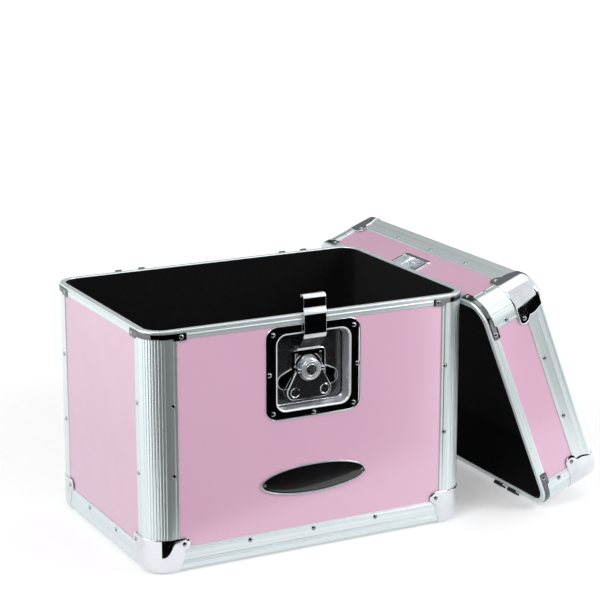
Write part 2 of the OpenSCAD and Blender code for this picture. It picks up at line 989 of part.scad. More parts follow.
// plate on a back wall, from start to leaf_h away from the rim, at z = 0 and growing upwards
module leaf(start) {
    translate([-leaf_w / 2, hd, start])
        cube([leaf_w, leaf_t, leaf_h - start]);
    translate([-leaf_w / 2, panel_y, rim_band_h + dish_gap])
        cube([leaf_w, skin_t, leaf_h - rim_band_h - dish_gap]);
}

module leaf_rivet_places() {
    for (x = [-1, 0, 1])
        translate([x * (leaf_w / 2 - head_r - leaf_t), hd + leaf_t, leaf_rivet_h])
            rotate([-90, 0, 0])
                children();
}

module finger_leaf() {
    difference() {
        union() {
            leaf(hinge_out - hinge_drop + dish_gap);
            for (x = finger_xs()) {
                translate([x, hd, -hinge_drop])
                    cube([finger_w, leaf_t, hinge_out + dish_gap]);
                translate([x, hd + hinge_out, -hinge_drop])
                    rotate([0, 90, 0])
                        cylinder(r = finger_r, h = finger_w);
                translate([x, hd + hinge_out, -hinge_drop])
                    rotate([0, 90, 0])
                        cylinder(r = hinge_pin_r, h = finger_w + finger_pin_l);
            }
        }
        leaf_rivet_places()
            rivet_hole(leaf_t + skin_t);
    }
}

// drawn upside down, so that its leaf grows away from the rim in the same way
module knuckle_leaf() {
    difference() {
        union() {
            leaf(hinge_drop + finger_r + dish_gap);
            for (x = finger_xs())
                translate([x + finger_w + dish_gap, hd, 0]) {
                    translate([0, hinge_out, hinge_drop])
                        rotate([0, 90, 0])
                            cylinder(r = hinge_out, h = finger_pin_l - dish_gap);
                    translate([0, 0, hinge_drop])
                        cube([finger_pin_l - dish_gap, leaf_t, hinge_out + dish_gap]);
                }
        }
        for (x = finger_xs())
            translate([x + finger_w, hd + hinge_out, hinge_drop])
                rotate([0, 90, 0])
                    cylinder(r = hinge_pin_r + hinge_gap, h = finger_pin_l + over);
        leaf_rivet_places()
            rivet_hole(leaf_t + skin_t);
    }
}

// from the rim down, on the back of the body
module on_body_hinge(s) {
    translate([s * hinge_x, 0, body_h])
        mirror([0, 0, 1])
            children();
}

// ---- lid: drawn closed, its rim at z = 0, then turned on its back edge and leaned on the body ----

module on_lid() {
    translate([foot_x, lean_y, foot_z])
        rotate([0, -lid_lean, 0])
            rotate([-90, 0, -90])
                translate([0, -hd, 0])
                    children();
}

module lid_tray() {
    on_lid()
        translate([0, 0, lid_h])
            mirror([0, 0, 1])
                children();
}

// on the lid's front wall: z outwards from the panel, y away from the rim
module in_strike() {
    translate([0, -panel_y, 0])
        rotate([90, 0, 0])
            children();
}

module strike_outline(g) {
    translate([0, (strike_near + strike_top) / 2])
        round_rect(strike_w + 2 * g, strike_top - strike_near + 2 * g, strike_r + g);
}

// box of the pocket, grown by g
module strike_box(g) {
    translate([-strike_pocket_w / 2 - g, strike_lip - strike_undercut - g, dish_t - strike_pocket_depth - g])
        cube([strike_pocket_w + 2 * g, strike_pocket_top - strike_lip + strike_undercut + 2 * g,
            strike_pocket_depth - dish_t + g]);
}

module strike_rivet_places() {
    for (x = [-1, 1], y = [strike_near + strike_rivet_end, strike_top - strike_rivet_end])
        translate([x * (strike_w / 2 - strike_rivet_side), y, dish_t])
            children();
}

module strike() {
    difference() {
        union() {
            linear_extrude(dish_t)
                strike_outline(0);
            strike_box(dish_t);
        }
        strike_box(0);
        translate([-strike_pocket_w / 2, strike_lip, -over])
            cube([strike_pocket_w, strike_pocket_top - strike_lip, dish_t + 2 * over]);
        strike_rivet_places()
            rivet_hole(dish_t, strike_rivet_r);
    }
}

// ---- handle on the lid's outside: z outwards from the panel, the hinge line along x ----

module in_handle() {
    translate([0, 0, lid_h - skin_t])
        children();
}

module mount_rivet_places() {
    for (s = [-1, 1], e = [-1, 1])
        translate([s * handle_span / 2, e * (mount_foot_l / 2 - mount_rivet_in), mount_foot_t])
            children();
}

module mounts() {
    lug_r = bail_r + lug_wall;
    difference() {
        for (s = [-1, 1])
            translate([s * handle_span / 2, 0, 0]) {
                linear_extrude(mount_foot_t)
                    round_rect(mount_foot_w, mount_foot_l, mount_foot_r);
                translate([-lug_w / 2, 0, handle_axis_h])
                    rotate([0, 90, 0])
                        cylinder(r = lug_r, h = lug_w);
                translate([-lug_w / 2, -lug_r, 0])
                    cube([lug_w, 2 * lug_r, handle_axis_h]);
            }
        translate([-handle_span, 0, handle_axis_h])
            rotate([0, 90, 0])
                cylinder(r = bail_r + bail_gap, h = 2 * handle_span);
        mount_rivet_places()
            rivet_hole(mount_foot_t);
    }
}

module bail() {
    cross = bail_x - bail_bend_r;
    translate([0, 0, handle_axis_h]) {
        for (s = [0, 1])
            mirror([s, 0, 0]) {
                translate([bail_x, 0, 0]) {
                    sphere(bail_r);
                    rotate([0, 90, 0])
                        cylinder(r = bail_r, h = handle_span / 2 + lug_w / 2 - bail_x);
                    rotate([-90, 0, 0])
                        cylinder(r = bail_r, h = handle_reach - bail_bend_r);
                }
                translate([cross, handle_reach - bail_bend_r, 0])
                    rotate_extrude(angle = 90)
                        translate([bail_bend_r, 0])
                            circle(bail_r);
            }
        translate([-cross, handle_reach, 0])
            rotate([0, 90, 0])
                cylinder(r = bail_r, h = 2 * cross);
    }
}

module grip() {
    bore = bail_r + press_gap;
    translate([-grip_l / 2, handle_reach, handle_axis_h])
        rotate([0, 90, 0])
            rotate_extrude() {
                translate([bore, 0])
                    square([grip_r - grip_end_r - bore, grip_l]);
                translate([bore, grip_end_r])
                    square([grip_r - bore, grip_l - 2 * grip_end_r]);
                for (z = [grip_end_r, grip_l - grip_end_r])
                    translate([grip_r - grip_end_r, z])
                        circle(grip_end_r);
            }
}

// ---- the pieces of the body ----

module body_front_panel() {
    color(pink)
        difference() {
            on_body()
                mirror([0, 1, 0])
                    long_panel(tray_h);
            recess_cut();
        }
}

module body_back_panel() {
    color(pink)
        on_body()
            long_panel(tray_h);
}

module body_left_panel() {
    color(pink)
        on_body()
            mirror([1, 0, 0])
                short_panel(tray_h);
}

module body_right_panel() {
    color(pink)
        on_body()
            short_panel(tray_h);
}

module body_bottom_panel() {
    color(pink)
        on_body()
            floor_panel();
}

module body_lining() {
    color(felt)
        difference() {
            on_body()
                lining(tray_h);
            recess_cut();
        }
}

module body_rim() {
    color(alloy)
        on_body()
            rim(tray_h);
}

module body_post(sx, sy) {
    color(alloy)
        on_body()
            at_corner(sx, sy)
                post(tray_h, body_post_rivets);
}

module body_cap(sx, sy) {
    color(chrome)
        on_body()
            at_corner(sx, sy)
                cap();
}

module body_long_edging(sy) {
    color(alloy)
        on_body()
            at_corner(1, sy)
                long_edging();
}

module body_short_edging(sx) {
    color(alloy)
        on_body()
            at_side(sx)
                short_edging();
}

module body_clamps() {
    color(chrome)
        on_body()
            clamps(tray_h);
}

module body_rivets() {
    color(chrome) {
        on_body()
            tray_rivets(tray_h, body_post_rivets);
        for (s = [-1, 1])
            on_body_hinge(s)
                leaf_rivet_places()
                    rivet(leaf_t + skin_t);
        in_badge()
            badge_rivet_places()
                rivet(badge_face_t, badge_rivet_r);
    }
}

module body_hinge(s) {
    color(chrome)
        on_body_hinge(s)
            knuckle_leaf();
}

module latch_dish() {
    color(chrome)
        in_latch()
            dish();
}

module latch_rivets() {
    color(chrome)
        in_latch()
            dish_rivet_places()
                rivet(dish_t);
}

module latch_base_plate() {
    color(chrome)
        in_latch()
            base_plate();
}

module latch_spindle() {
    color(chrome)
        in_latch()
            spindle();
}

module latch_collar() {
    color(chrome)
        in_latch()
            collar();
}

module latch_wing() {
    color(chrome)
        in_latch()
            wing();
}

module latch_wing_pin() {
    color(chrome)
        in_latch()
            along_pin(-wing_ear_x - wing_ear_w, 2 * (wing_ear_x + wing_ear_w), wing_pin_r);
}

module latch_hook() {
    color(chrome)
        in_latch()
            hook();
}

module badge_frame() {
    color(chrome)
        in_badge()
            linear_extrude(badge_frame_t)
                difference() {
                    badge_oval(0);
                    badge_oval(badge_frame_w);
                }
}

module badge_face() {
    color(black)
        in_badge()
            difference() {
                linear_extrude(badge_face_t)
                    badge_oval(badge_frame_w + badge_gap);
                badge_rivet_places()
                    rivet_hole(badge_face_t, badge_rivet_r);
            }
}

// ---- the pieces of the lid ----

module lid_front_panel() {
    color(pink)
        difference() {
            lid_tray()
                mirror([0, 1, 0])
                    long_panel(lid_h);
            on_lid()
                in_strike()
                    strike_box(dish_t + dish_gap);
        }
}

module lid_back_panel() {
    color(pink)
        lid_tray()
            long_panel(lid_h);
}

module lid_left_panel() {
    color(pink)
        lid_tray()
            mirror([1, 0, 0])
                short_panel(lid_h);
}

module lid_right_panel() {
    color(pink)
        lid_tray()
            short_panel(lid_h);
}

module lid_top_panel() {
    color(pink)
        lid_tray()
            floor_panel();
}

module lid_lining() {
    color(felt)
        difference() {
            lid_tray()
                lining(lid_h);
            on_lid()
                in_strike()
                    strike_box(dish_t + dish_gap);
        }
}

module lid_rim() {
    color(alloy)
        difference() {
            lid_tray()
                rim(lid_h);
            on_lid()
                in_strike()
                    linear_extrude(skin_t + over)
                        strike_outline(dish_gap);
        }
}

module lid_post(sx, sy) {
    color(alloy)
        lid_tray()
            at_corner(sx, sy)
                post(lid_h, lid_post_rivets);
}

module lid_cap(sx, sy) {
    color(chrome)
        lid_tray()
            at_corner(sx, sy)
                cap();
}

module lid_long_edging(sy) {
    color(alloy)
        lid_tray()
            at_corner(1, sy)
                long_edging();
}

module lid_short_edging(sx) {
    color(alloy)
        lid_tray()
            at_side(sx)
                short_edging();
}

module lid_clamps() {
    color(chrome)
        lid_tray()
            clamps(lid_h);
}

module lid_rivets() {
    color(chrome) {
        lid_tray()
            tray_rivets(lid_h, lid_post_rivets);
        on_lid() {
            for (s = [-1, 1])
                translate([s * hinge_x, 0, 0])
                    leaf_rivet_places()
                        rivet(leaf_t + skin_t);
            in_strike()
                strike_rivet_places()
                    rivet(dish_t, strike_rivet_r);
            in_handle()
                mount_rivet_places()
                    rivet(mount_foot_t);
        }
    }
}

module lid_hinge(s) {
    color(chrome)
        on_lid()
            translate([s * hinge_x, 0, 0])
                finger_leaf();
}

module strike_plate() {
    color(chrome)
        on_lid()
            in_strike()
                strike();
}

module handle_mounts() {
    color(chrome)
        on_lid()
            in_handle()
                mounts();
}

module handle_bail() {
    color(chrome)
        on_lid()
            in_handle()
                bail();
}

module handle_grip() {
    color(black)
        on_lid()
            in_handle()
                grip();
}

// ---- one module for each piece of a set ----

module body_post_front_left() {
    body_post(-1, -1);
}

module body_post_front_right() {
    body_post(1, -1);
}

module body_post_back_left() {
    body_post(-1, 1);
}

module body_post_back_right() {
    body_post(1, 1);
}

module body_edging_front() {
    body_long_edging(-1);
}

module body_edging_back() {
    body_long_edging(1);
}

module body_edging_left() {
    body_short_edging(-1);
}

module body_edging_right() {
    body_short_edging(1);
}

module body_cap_front_left() {
    body_cap(-1, -1);
}

module body_cap_front_right() {
    body_cap(1, -1);
}

module body_cap_back_left() {
    body_cap(-1, 1);
}

module body_cap_back_right() {
    body_cap(1, 1);
}

module body_hinge_left() {
    body_hinge(-1);
}

module body_hinge_right() {
    body_hinge(1);
}

module lid_post_front_left() {
    lid_post(-1, -1);
}

module lid_post_front_right() {
    lid_post(1, -1);
}

module lid_post_back_left() {
    lid_post(-1, 1);
}

module lid_post_back_right() {
    lid_post(1, 1);
}

module lid_edging_front() {
    lid_long_edging(-1);
}

module lid_edging_back() {
    lid_long_edging(1);
}

module lid_edging_left() {
    lid_short_edging(-1);
}

module lid_edging_right() {
    lid_short_edging(1);
}

module lid_cap_front_left() {
    lid_cap(-1, -1);
}

module lid_cap_front_right() {
    lid_cap(1, -1);
}

module lid_cap_back_left() {
    lid_cap(-1, 1);
}

module lid_cap_back_right() {
    lid_cap(1, 1);
}

module lid_hinge_left() {
    lid_hinge(-1);
}

module lid_hinge_right() {
    lid_hinge(1);
}

translate([-mid_x, -mid_y, 0]) {
    body_front_panel();
    body_back_panel();
    body_left_panel();
    body_right_panel();
    body_bottom_panel();
    body_lining();
    body_rim();
    body_post_front_left();
    body_post_front_right();
    body_post_back_left();
    body_post_back_right();
    body_edging_front();
    body_edging_back();
    body_edging_left();
    body_edging_right();
    body_cap_front_left();
    body_cap_front_right();
    body_cap_back_left();
    body_cap_back_right();
    body_clamps();
    body_rivets();
    body_hinge_left();
    body_hinge_right();
    latch_dish();
    latch_rivets();
    latch_base_plate();
    latch_spindle();
    latch_collar();
    latch_wing();
    latch_wing_pin();
    latch_hook();
    badge_frame();
    badge_face();
    lid_front_panel();
    lid_back_panel();
    lid_left_panel();
    lid_right_panel();
    lid_top_panel();
    lid_lining();
    lid_rim();
    lid_post_front_left();
    lid_post_front_right();
    lid_post_back_left();
    lid_post_back_right();
    lid_edging_front();
    lid_edging_back();
    lid_edging_left();
    lid_edging_right();
    lid_cap_front_left();
    lid_cap_front_right();
    lid_cap_back_left();
    lid_cap_back_right();
    lid_clamps();
    lid_rivets();
    lid_hinge_left();
    lid_hinge_right();
    strike_plate();
    handle_mounts();
    handle_bail();
    handle_grip();
}
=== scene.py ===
# Looks of a record carrying case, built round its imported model. Local sizes are in millimetres.
import json
import math
import bpy
import numpy as np
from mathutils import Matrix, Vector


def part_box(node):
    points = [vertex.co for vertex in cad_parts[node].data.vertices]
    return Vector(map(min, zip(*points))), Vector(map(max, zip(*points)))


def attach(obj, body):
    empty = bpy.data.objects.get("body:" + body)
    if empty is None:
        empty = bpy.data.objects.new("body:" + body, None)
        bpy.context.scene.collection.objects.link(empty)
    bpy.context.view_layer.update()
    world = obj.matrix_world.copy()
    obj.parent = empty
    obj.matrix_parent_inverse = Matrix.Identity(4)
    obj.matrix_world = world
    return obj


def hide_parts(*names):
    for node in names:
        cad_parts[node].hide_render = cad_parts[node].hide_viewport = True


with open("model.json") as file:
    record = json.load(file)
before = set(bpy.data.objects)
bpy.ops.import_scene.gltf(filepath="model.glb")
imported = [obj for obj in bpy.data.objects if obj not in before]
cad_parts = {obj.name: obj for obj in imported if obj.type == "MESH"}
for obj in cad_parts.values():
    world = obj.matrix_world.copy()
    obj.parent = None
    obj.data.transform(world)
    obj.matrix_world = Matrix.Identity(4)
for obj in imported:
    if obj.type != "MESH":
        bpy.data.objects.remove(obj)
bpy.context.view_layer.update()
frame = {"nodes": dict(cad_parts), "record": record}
mm = 0.001
print("frame loaded:", len(frame["nodes"]), "nodes")


# ---------- where things are, read from the frame ----------

def boxOf(node):
    low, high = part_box(node)
    return np.array(low) / mm, np.array(high) / mm


joints = {j["name"]: j for j in frame["record"]["behaviour"]["joints"]}
rimLow, rimHigh = boxOf("body_rim")
halfW, halfD = (rimHigh - rimLow)[:2] / 2
middle = (rimLow + rimHigh) / 2 * [1, 1, 0]     # middle of the body's plan
lift = boxOf("body_edging_front")[0][2]         # the metal stands this far up, on its caps
bodyH = rimHigh[2] - lift
spindle = np.array(joints["latch_twist"]["pos_m"]) / mm

case = {"cornerR": 25.0, "edgeR": 7.5, "skin": 1.2, "wall": 6.2, "lidH": 76.0, "lean": 21.4}
sinLean, cosLean = math.sin(math.radians(case["lean"])), math.cos(math.radians(case["lean"]))
lidLow, lidHigh = boxOf("lid_rim")
foot = np.array([lidLow[0] + 2 * halfD * sinLean, (lidLow[1] + lidHigh[1]) / 2, lidLow[2]])
panelY = halfD - case["skin"]


def placeBody(p):
    # tray of the body: floor at z = 0, so only lifted onto the caps
    return (p + middle + [0, 0, lift]) * mm


def placeLidClosed(p):
    # closed lid, rim at z = 0: turned on its back edge and leaned back
    s = halfD - p[..., 1]
    x = foot[0] - s * sinLean + p[..., 2] * cosLean
    z = foot[2] + s * cosLean + p[..., 2] * sinLean
    return np.stack([x, foot[1] - p[..., 0], z], -1) * mm


def placeLid(p):
    # tray of the lid: like the body's, but upside down
    return placeLidClosed(p * [1, 1, -1] + [0, 0, case["lidH"]])


def placeLatch(p):
    # z outwards from the floor of the recess, y upwards
    return np.stack([spindle[0] + p[..., 0], spindle[1] - p[..., 2], spindle[2] + p[..., 1]], -1) * mm


def placeStrike(p):
    # z outwards from the lid's front panel, y away from the rim
    return placeLidClosed(np.stack([p[..., 0], -panelY - p[..., 2], p[..., 1]], -1))


def corner(place, sx, sy):
    # pieces of a corner are worked out at the back right and mirrored
    return lambda p: place(p * [sx, sy, 1])


# ---------- surfaces ----------

def gridFaces(rows, cols, loopRows=False, loopCols=False):
    # quads between the neighbours of a rows by cols grid of points
    i, j = np.meshgrid(np.arange(rows if loopRows else rows - 1),
                       np.arange(cols if loopCols else cols - 1), indexing="ij")
    k, l = (i + 1) % rows, (j + 1) % cols
    return np.stack([i * cols + j, i * cols + l, k * cols + l, k * cols + j], -1).reshape(-1, 4)


class Shape:
    # closed shells gathered into one mesh, each with its faces outwards
    def __init__(self, place):
        self.place, self.points, self.faces, self.kinds, self.count = place, [], [], [], 0

    def shell(self, points, quads, caps=(), kinds=0):
        # the signed volume of the placed shell says whether its faces point inwards; kinds says
        # which of the piece's finishes each quad has
        points = self.place(points.reshape(-1, 3))
        fans = [np.stack([np.full(len(c) - 2, c[0]), c[1:-1], c[2:]], -1) for c in caps]
        a, b, c = np.moveaxis(points[np.vstack([quads[:, :3], quads[:, [0, 2, 3]]] + fans)], 1, 0)
        turn = -1 if np.einsum("ij,ij->", a, np.cross(b, c)) < 0 else 1
        for face in [quads] + [cap[None] for cap in caps]:
            self.faces += (face[:, ::turn] + self.count).tolist()
        self.kinds += np.broadcast_to(kinds, len(quads)).tolist() + [0] * len(caps)
        self.points.append(points)
        self.count += len(points)
        return self

    def loft(self, rings, loop=False, kinds=0):
        # closed rings of points skinned one to the next; the ends are filled, or joined in a loop
        rows, cols = rings.shape[:2]
        ends = np.arange(cols)
        caps = [] if loop else [ends[::-1], (rows - 1) * cols + ends]
        return self.shell(rings, gridFaces(rows, cols, loop, True), caps, kinds)

    def slab(self, outer, inner, kinds=0):
        # two grids of the same size, one behind the other, joined by strips round their edges
        rows, cols = outer.shape[:2]
        n = rows * cols
        index = np.arange(n).reshape(rows, cols)
        front = gridFaces(rows, cols)
        edges = [index[0], index[-1][::-1], index[:, 0][::-1], index[:, -1]]
        strips = [np.stack([e[1:], e[:-1], e[:-1] + n, e[1:] + n], -1) for e in edges]
        quads = np.vstack([front, front[:, ::-1] + n] + strips)
        return self.shell(np.stack([outer, inner]), quads, (), kinds)

    def piece(self, name, coats, body, slotName, nodes, sharp=38):
        mesh = bpy.data.meshes.new(name)
        mesh.from_pydata(np.vstack(self.points).tolist(), [], self.faces)
        mesh.shade_smooth()
        mesh.set_sharp_from_angle(angle=math.radians(sharp))
        for coat in coats if isinstance(coats, list) else [coats]:
            mesh.materials.append(coat)
        mesh.polygons.foreach_set("material_index", self.kinds)
        thing = bpy.data.objects.new(name, mesh)
        bpy.context.scene.collection.objects.link(thing)
        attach(thing, body)
        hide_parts(*nodes)
        return thing


def ease(x):
    # 0 below 0, 1 above 1, smooth between
    x = np.clip(x, 0, 1)
    return x * x * (3 - 2 * x)


def groove(d, depth, width):
    # round-bottomed line at distance d = 0
    return depth * np.exp(-(d / width) ** 2)


def roundRect(w, h, r, middle=(0, 0), steps=10):
    # quarter circles round the four corners, in turn
    a = np.linspace(0, np.pi / 2, steps)
    a = (a[None] + np.arange(4)[:, None] * np.pi / 2).ravel()
    sx = np.repeat([1, -1, -1, 1], steps)
    sy = np.repeat([1, 1, -1, -1], steps)
    return np.stack([middle[0] + sx * (w / 2 - r) + r * np.cos(a),
                     middle[1] + sy * (h / 2 - r) + r * np.sin(a)], -1)


def atHeight(outline, z):
    return np.concatenate([outline, np.full((len(outline), 1), float(z))], 1)


def inwards(outline, d):
    # an outline's points moved d along its normals, towards its left
    along = np.roll(outline, -1, 0) - np.roll(outline, 1, 0)
    along /= np.linalg.norm(along, axis=1)[:, None]
    return outline + d * np.stack([-along[:, 1], along[:, 0]], -1)


def plateRings(outline, z0, z1, bevel):
    # plate between z0 and z1 with its edges rounded by a quarter circle
    a = np.linspace(0, np.pi / 2, 4)
    low = [atHeight(inwards(outline, bevel * (1 - math.sin(t))), z0 + bevel * (1 - math.cos(t))) for t in a]
    high = [atHeight(inwards(outline, bevel * (1 - math.cos(t))), z1 - bevel * (1 - math.sin(t))) for t in a]
    return np.stack(low + high)


def turned(profile, count=48):
    # (radius, height) points carried round the z axis
    a = np.linspace(0, 2 * np.pi, count, endpoint=False)
    r, z = np.array(profile, float).T
    return np.stack([r[:, None] * np.cos(a), r[:, None] * np.sin(a), z[:, None] + 0 * a], -1)


def roundCorner(reach, out, z, straight=12, bend=22):
    # wall that turns an upright corner: reach[i] is how far row i runs from the sharp corner,
    # out[i, j] how far the surface stands off the metal, z[i, j] its height
    r = case["cornerR"]
    a, t = np.linspace(1, 0, straight), np.linspace(np.pi / 2, 0, bend)[1:-1]
    run = (reach[:, None] - r) * a
    cx, cy = halfW - r, halfD - r
    ones = np.ones((len(reach), bend - 2))
    x = np.hstack([cx - run, cx + ones * r * np.cos(t), np.full_like(run, halfW)])
    y = np.hstack([np.full_like(run, halfD), cy + ones * r * np.sin(t), (cy - run)[:, ::-1]])
    nx = np.concatenate([0 * a, np.cos(t), 0 * a + 1])
    ny = np.concatenate([0 * a + 1, np.sin(t), 0 * a])
    return np.stack([x + out * nx, y + out * ny, z + 0 * out], -1)


def cornerDistance(reach, straight=12, bend=22):
    # distance from the sharp corner of each point of roundCorner, zero round the bend
    run = (reach[:, None] - case["cornerR"]) * np.linspace(1, 0, straight) + case["cornerR"]
    return np.hstack([run, np.zeros((len(reach), bend - 2)), run[:, ::-1]])


# ---------- finishes ----------

class Value:
    # a socket that can be reckoned with: each operator adds a Math node
    def __init__(self, finish, socket):
        self.finish, self.socket = finish, socket

    def reckon(self, operation, first, second):
        node = self.finish.node("ShaderNodeMath", {"operation": operation}, {0: first, 1: second})
        return Value(self.finish, node.outputs[0])

    def __add__(self, other):
        return self.reckon("ADD", self, other)

    def __sub__(self, other):
        return self.reckon("SUBTRACT", self, other)

    def __rsub__(self, other):
        return self.reckon("SUBTRACT", other, self)

    def __mul__(self, other):
        return self.reckon("MULTIPLY", self, other)

    def __pow__(self, other):
        return self.reckon("POWER", self, other)

    def above(self, other):
        return self.reckon("GREATER_THAN", self, other)

    __radd__ = __add__
    __rmul__ = __mul__


class Finish:
    # a Principled material and the few nodes that feed it
    def __init__(self, name, **constants):
        self.material = bpy.data.materials.new(name)
        self.material.use_nodes = True
        self.tree = self.material.node_tree
        self.shader = self.tree.nodes["Principled BSDF"]
        for socket, value in constants.items():
            self.shader.inputs[socket.replace("_", " ")].default_value = value
        self.coords = self.node("ShaderNodeTexCoord").outputs["Object"]

    def node(self, kind, settings=None, inputs=None):
        made = self.tree.nodes.new(kind)
        for key, value in (settings or {}).items():
            if key == "stops":
                for k, (place, shade) in enumerate(value):
                    stop = made.color_ramp.elements[k] if k < 2 else made.color_ramp.elements.new(place)
                    stop.position, stop.color = place, shade
            else:
                setattr(made, key, value)
        for key, value in (inputs or {}).items():
            value = value.socket if isinstance(value, Value) else value
            if isinstance(value, bpy.types.NodeSocket):
                self.tree.links.new(value, made.inputs[key])
            else:
                made.inputs[key].default_value = value
        return made

    def noise(self, scale, detail=2.0, vector=None, roughness=0.5):
        made = self.node("ShaderNodeTexNoise", None, {"Vector": vector or self.coords, "Scale": scale,
                                                      "Detail": detail, "Roughness": roughness})
        return Value(self, made.outputs["Fac"])

    def ramp(self, value, low, high, bottom=0.0, top=1.0):
        made = self.node("ShaderNodeMapRange", None, {"Value": value, "From Min": low, "From Max": high,
                                                      "To Min": bottom, "To Max": top})
        return Value(self, made.outputs["Result"])

    def mix(self, amount, first, second):
        made = self.node("ShaderNodeMix", {"data_type": "RGBA"}, {"Factor": amount, 6: first, 7: second})
        return made.outputs[2]

    def alongAxis(self, axis, squeeze):
        # coordinates squeezed along one direction, so that a noise on them is drawn out that way
        dot = self.node("ShaderNodeVectorMath", {"operation": "DOT_PRODUCT"}, {0: self.coords, 1: axis})
        part = self.node("ShaderNodeVectorMath", {"operation": "SCALE"},
                         {0: axis, "Scale": Value(self, dot.outputs["Value"]) * (1 - squeeze)})
        return self.node("ShaderNodeVectorMath", {"operation": "SUBTRACT"},
                         {0: self.coords, 1: part.outputs[0]}).outputs[0]

    def feed(self, socket, value):
        value = value.socket if isinstance(value, Value) else value
        self.tree.links.new(value, self.shader.inputs[socket])

    def bump(self, height, distance, strength=1.0):
        inputs = {"Height": height, "Distance": distance, "Strength": strength}
        made = self.node("ShaderNodeBump", None, inputs)
        self.feed("Normal", made.outputs[0])


def rgb(r, g, b):
    # sRGB bytes as the linear colour that nodes hold
    c = np.array([r, g, b]) / 255
    c = np.where(c <= 0.04045, c / 12.92, ((c + 0.055) / 1.055) ** 2.4)
    return (*c.tolist(), 1.0)


laminateLook = {"deep": rgb(206, 161, 186), "pale": rgb(211, 169, 192), "cloud": 4.0, "peel": 420.0,
                "peelDepth": 0.00003, "roughness": 0.42, "scuff": 0.08, "coat": 1.0, "coatRoughness": 0.22,
                "coatIor": 1.9, "fine": 2600, "rub": 30}


def laminate():
    # glossy printed laminate: slow drift of colour, a fine peel and a few rubbed patches
    look = laminateLook
    f = Finish("laminate", Coat_Weight=look["coat"], Coat_Roughness=look["coatRoughness"],
               Coat_IOR=look["coatIor"], IOR=1.46)
    cloud = f.ramp(f.noise(look["cloud"], 2), 0.35, 0.65)
    fine = f.noise(look["fine"], 2)
    f.feed("Base Color", f.mix(cloud * 0.75 + fine * 0.25, look["deep"], look["pale"]))
    rubbed = f.ramp(f.noise(look["rub"], 4), 0.42, 0.7)
    f.feed("Roughness", look["roughness"] + rubbed * look["scuff"])
    f.bump(f.noise(look["peel"], 2), look["peelDepth"], 0.3)
    return f.material


alloyLook = {"light": rgb(229, 238, 240), "dark": rgb(207, 218, 220), "squeeze": 0.002, "line": 2400.0,
             "band": 520.0, "metal": 0.64, "postMetal": 0.82, "roughness": 0.27, "grain": 0.1,
             "depth": 0.000015, "speck": 900}


def alloy(name, axis, metal=alloyLook["metal"]):
    # drawn aluminium: hair lines and wider bands run along the axis it was drawn in, with dull specks
    look = alloyLook
    f = Finish(name, Metallic=metal)
    drawn = f.alongAxis(axis, look["squeeze"])
    line = f.noise(look["line"], 3, drawn)
    band = f.noise(look["band"], 2, drawn)
    speck = f.ramp(f.noise(look["speck"], 3), 0.62, 0.75)
    tone = f.ramp(line * 0.4 + band * 0.6, 0.36, 0.64)
    f.feed("Base Color", f.mix(tone * (1 - speck * 0.4), look["dark"], look["light"]))
    f.feed("Roughness", look["roughness"] + line * look["grain"] + speck * 0.1)
    f.bump(line * 0.6 + band * 0.4, look["depth"], 0.5)
    return f.material


chromeLook = {"color": rgb(222, 226, 230), "tarnish": rgb(176, 180, 186), "smear": 0.1,
              "smearSize": 30, "pin": 1500, "dent": 60.0, "dentDepth": 0.00012}


def chrome(name, roughness=0.05, dent=1.0, shade=1.0, metal=1.0):
    # plated pressed steel: nearly a mirror, with faint smears, pin marks and a slightly uneven sheet
    look = chromeLook
    f = Finish(name, Metallic=metal)
    smear = f.ramp(f.noise(look["smearSize"], 4, roughness=0.6), 0.48, 0.75)
    pin = f.ramp(f.noise(look["pin"], 2), 0.68, 0.74)
    bright, dull = ((*(shade * v for v in look[k][:3]), 1.0) for k in ("color", "tarnish"))
    f.feed("Base Color", f.mix(smear * 0.5 + pin * 0.4, bright, dull))
    f.feed("Roughness", roughness + smear * look["smear"] + pin * 0.2)
    f.bump(f.noise(look["dent"], 1) * dent, look["dentDepth"], 0.3)
    return f.material


feltLook = {"dark": rgb(2, 2, 3), "light": rgb(11, 11, 13), "fibre": 1500.0, "nap": 260.0}


def felt():
    # short black nap: crossed fibres and a slow drift where it has been brushed
    look = feltLook
    f = Finish("felt", Specular_IOR_Level=0.1, Sheen_Weight=0.05, Sheen_Roughness=0.5)
    across = f.noise(look["fibre"], 3, f.alongAxis((0.7, 0.7, 0.14), 0.2))
    fibre = across * 0.5 + f.noise(look["fibre"], 3, f.alongAxis((-0.6, 0.5, 0.62), 0.2)) * 0.5
    nap = f.noise(look["nap"], 3)
    f.feed("Base Color", f.mix(f.ramp(fibre * 0.7 + nap * 0.3, 0.42, 0.66), look["dark"], look["light"]))
    f.feed("Roughness", 0.85 + fibre * 0.12)
    f.bump(fibre + nap * 0.8, 0.0003, 0.6)
    return f.material


def enamel():
    # black enamel under a clear coat, a little dusty
    f = Finish("enamel", Coat_Weight=0.8, Coat_Roughness=0.04)
    dust = f.ramp(f.noise(1200, 4, roughness=0.7), 0.6, 0.78)
    f.feed("Base Color", f.mix(dust, rgb(8, 8, 10), rgb(40, 40, 44)))
    f.feed("Roughness", 0.16 + dust * 0.3 + f.noise(90, 3) * 0.08)
    f.bump(f.noise(700, 2), 0.00002, 0.4)
    return f.material


def moulded():
    # moulded black plastic: fine spark-eroded grain, polished where a hand holds it
    f = Finish("moulded", IOR=1.5)
    grain = f.noise(1900, 2)
    polish = f.ramp(f.noise(55, 3), 0.4, 0.7)
    f.feed("Base Color", f.mix(grain * 0.5 + polish * 0.3, rgb(12, 12, 13), rgb(44, 44, 47)))
    f.feed("Roughness", 0.55 - polish * 0.2 + grain * 0.1)
    f.bump(grain, 0.00012, 0.5)
    return f.material


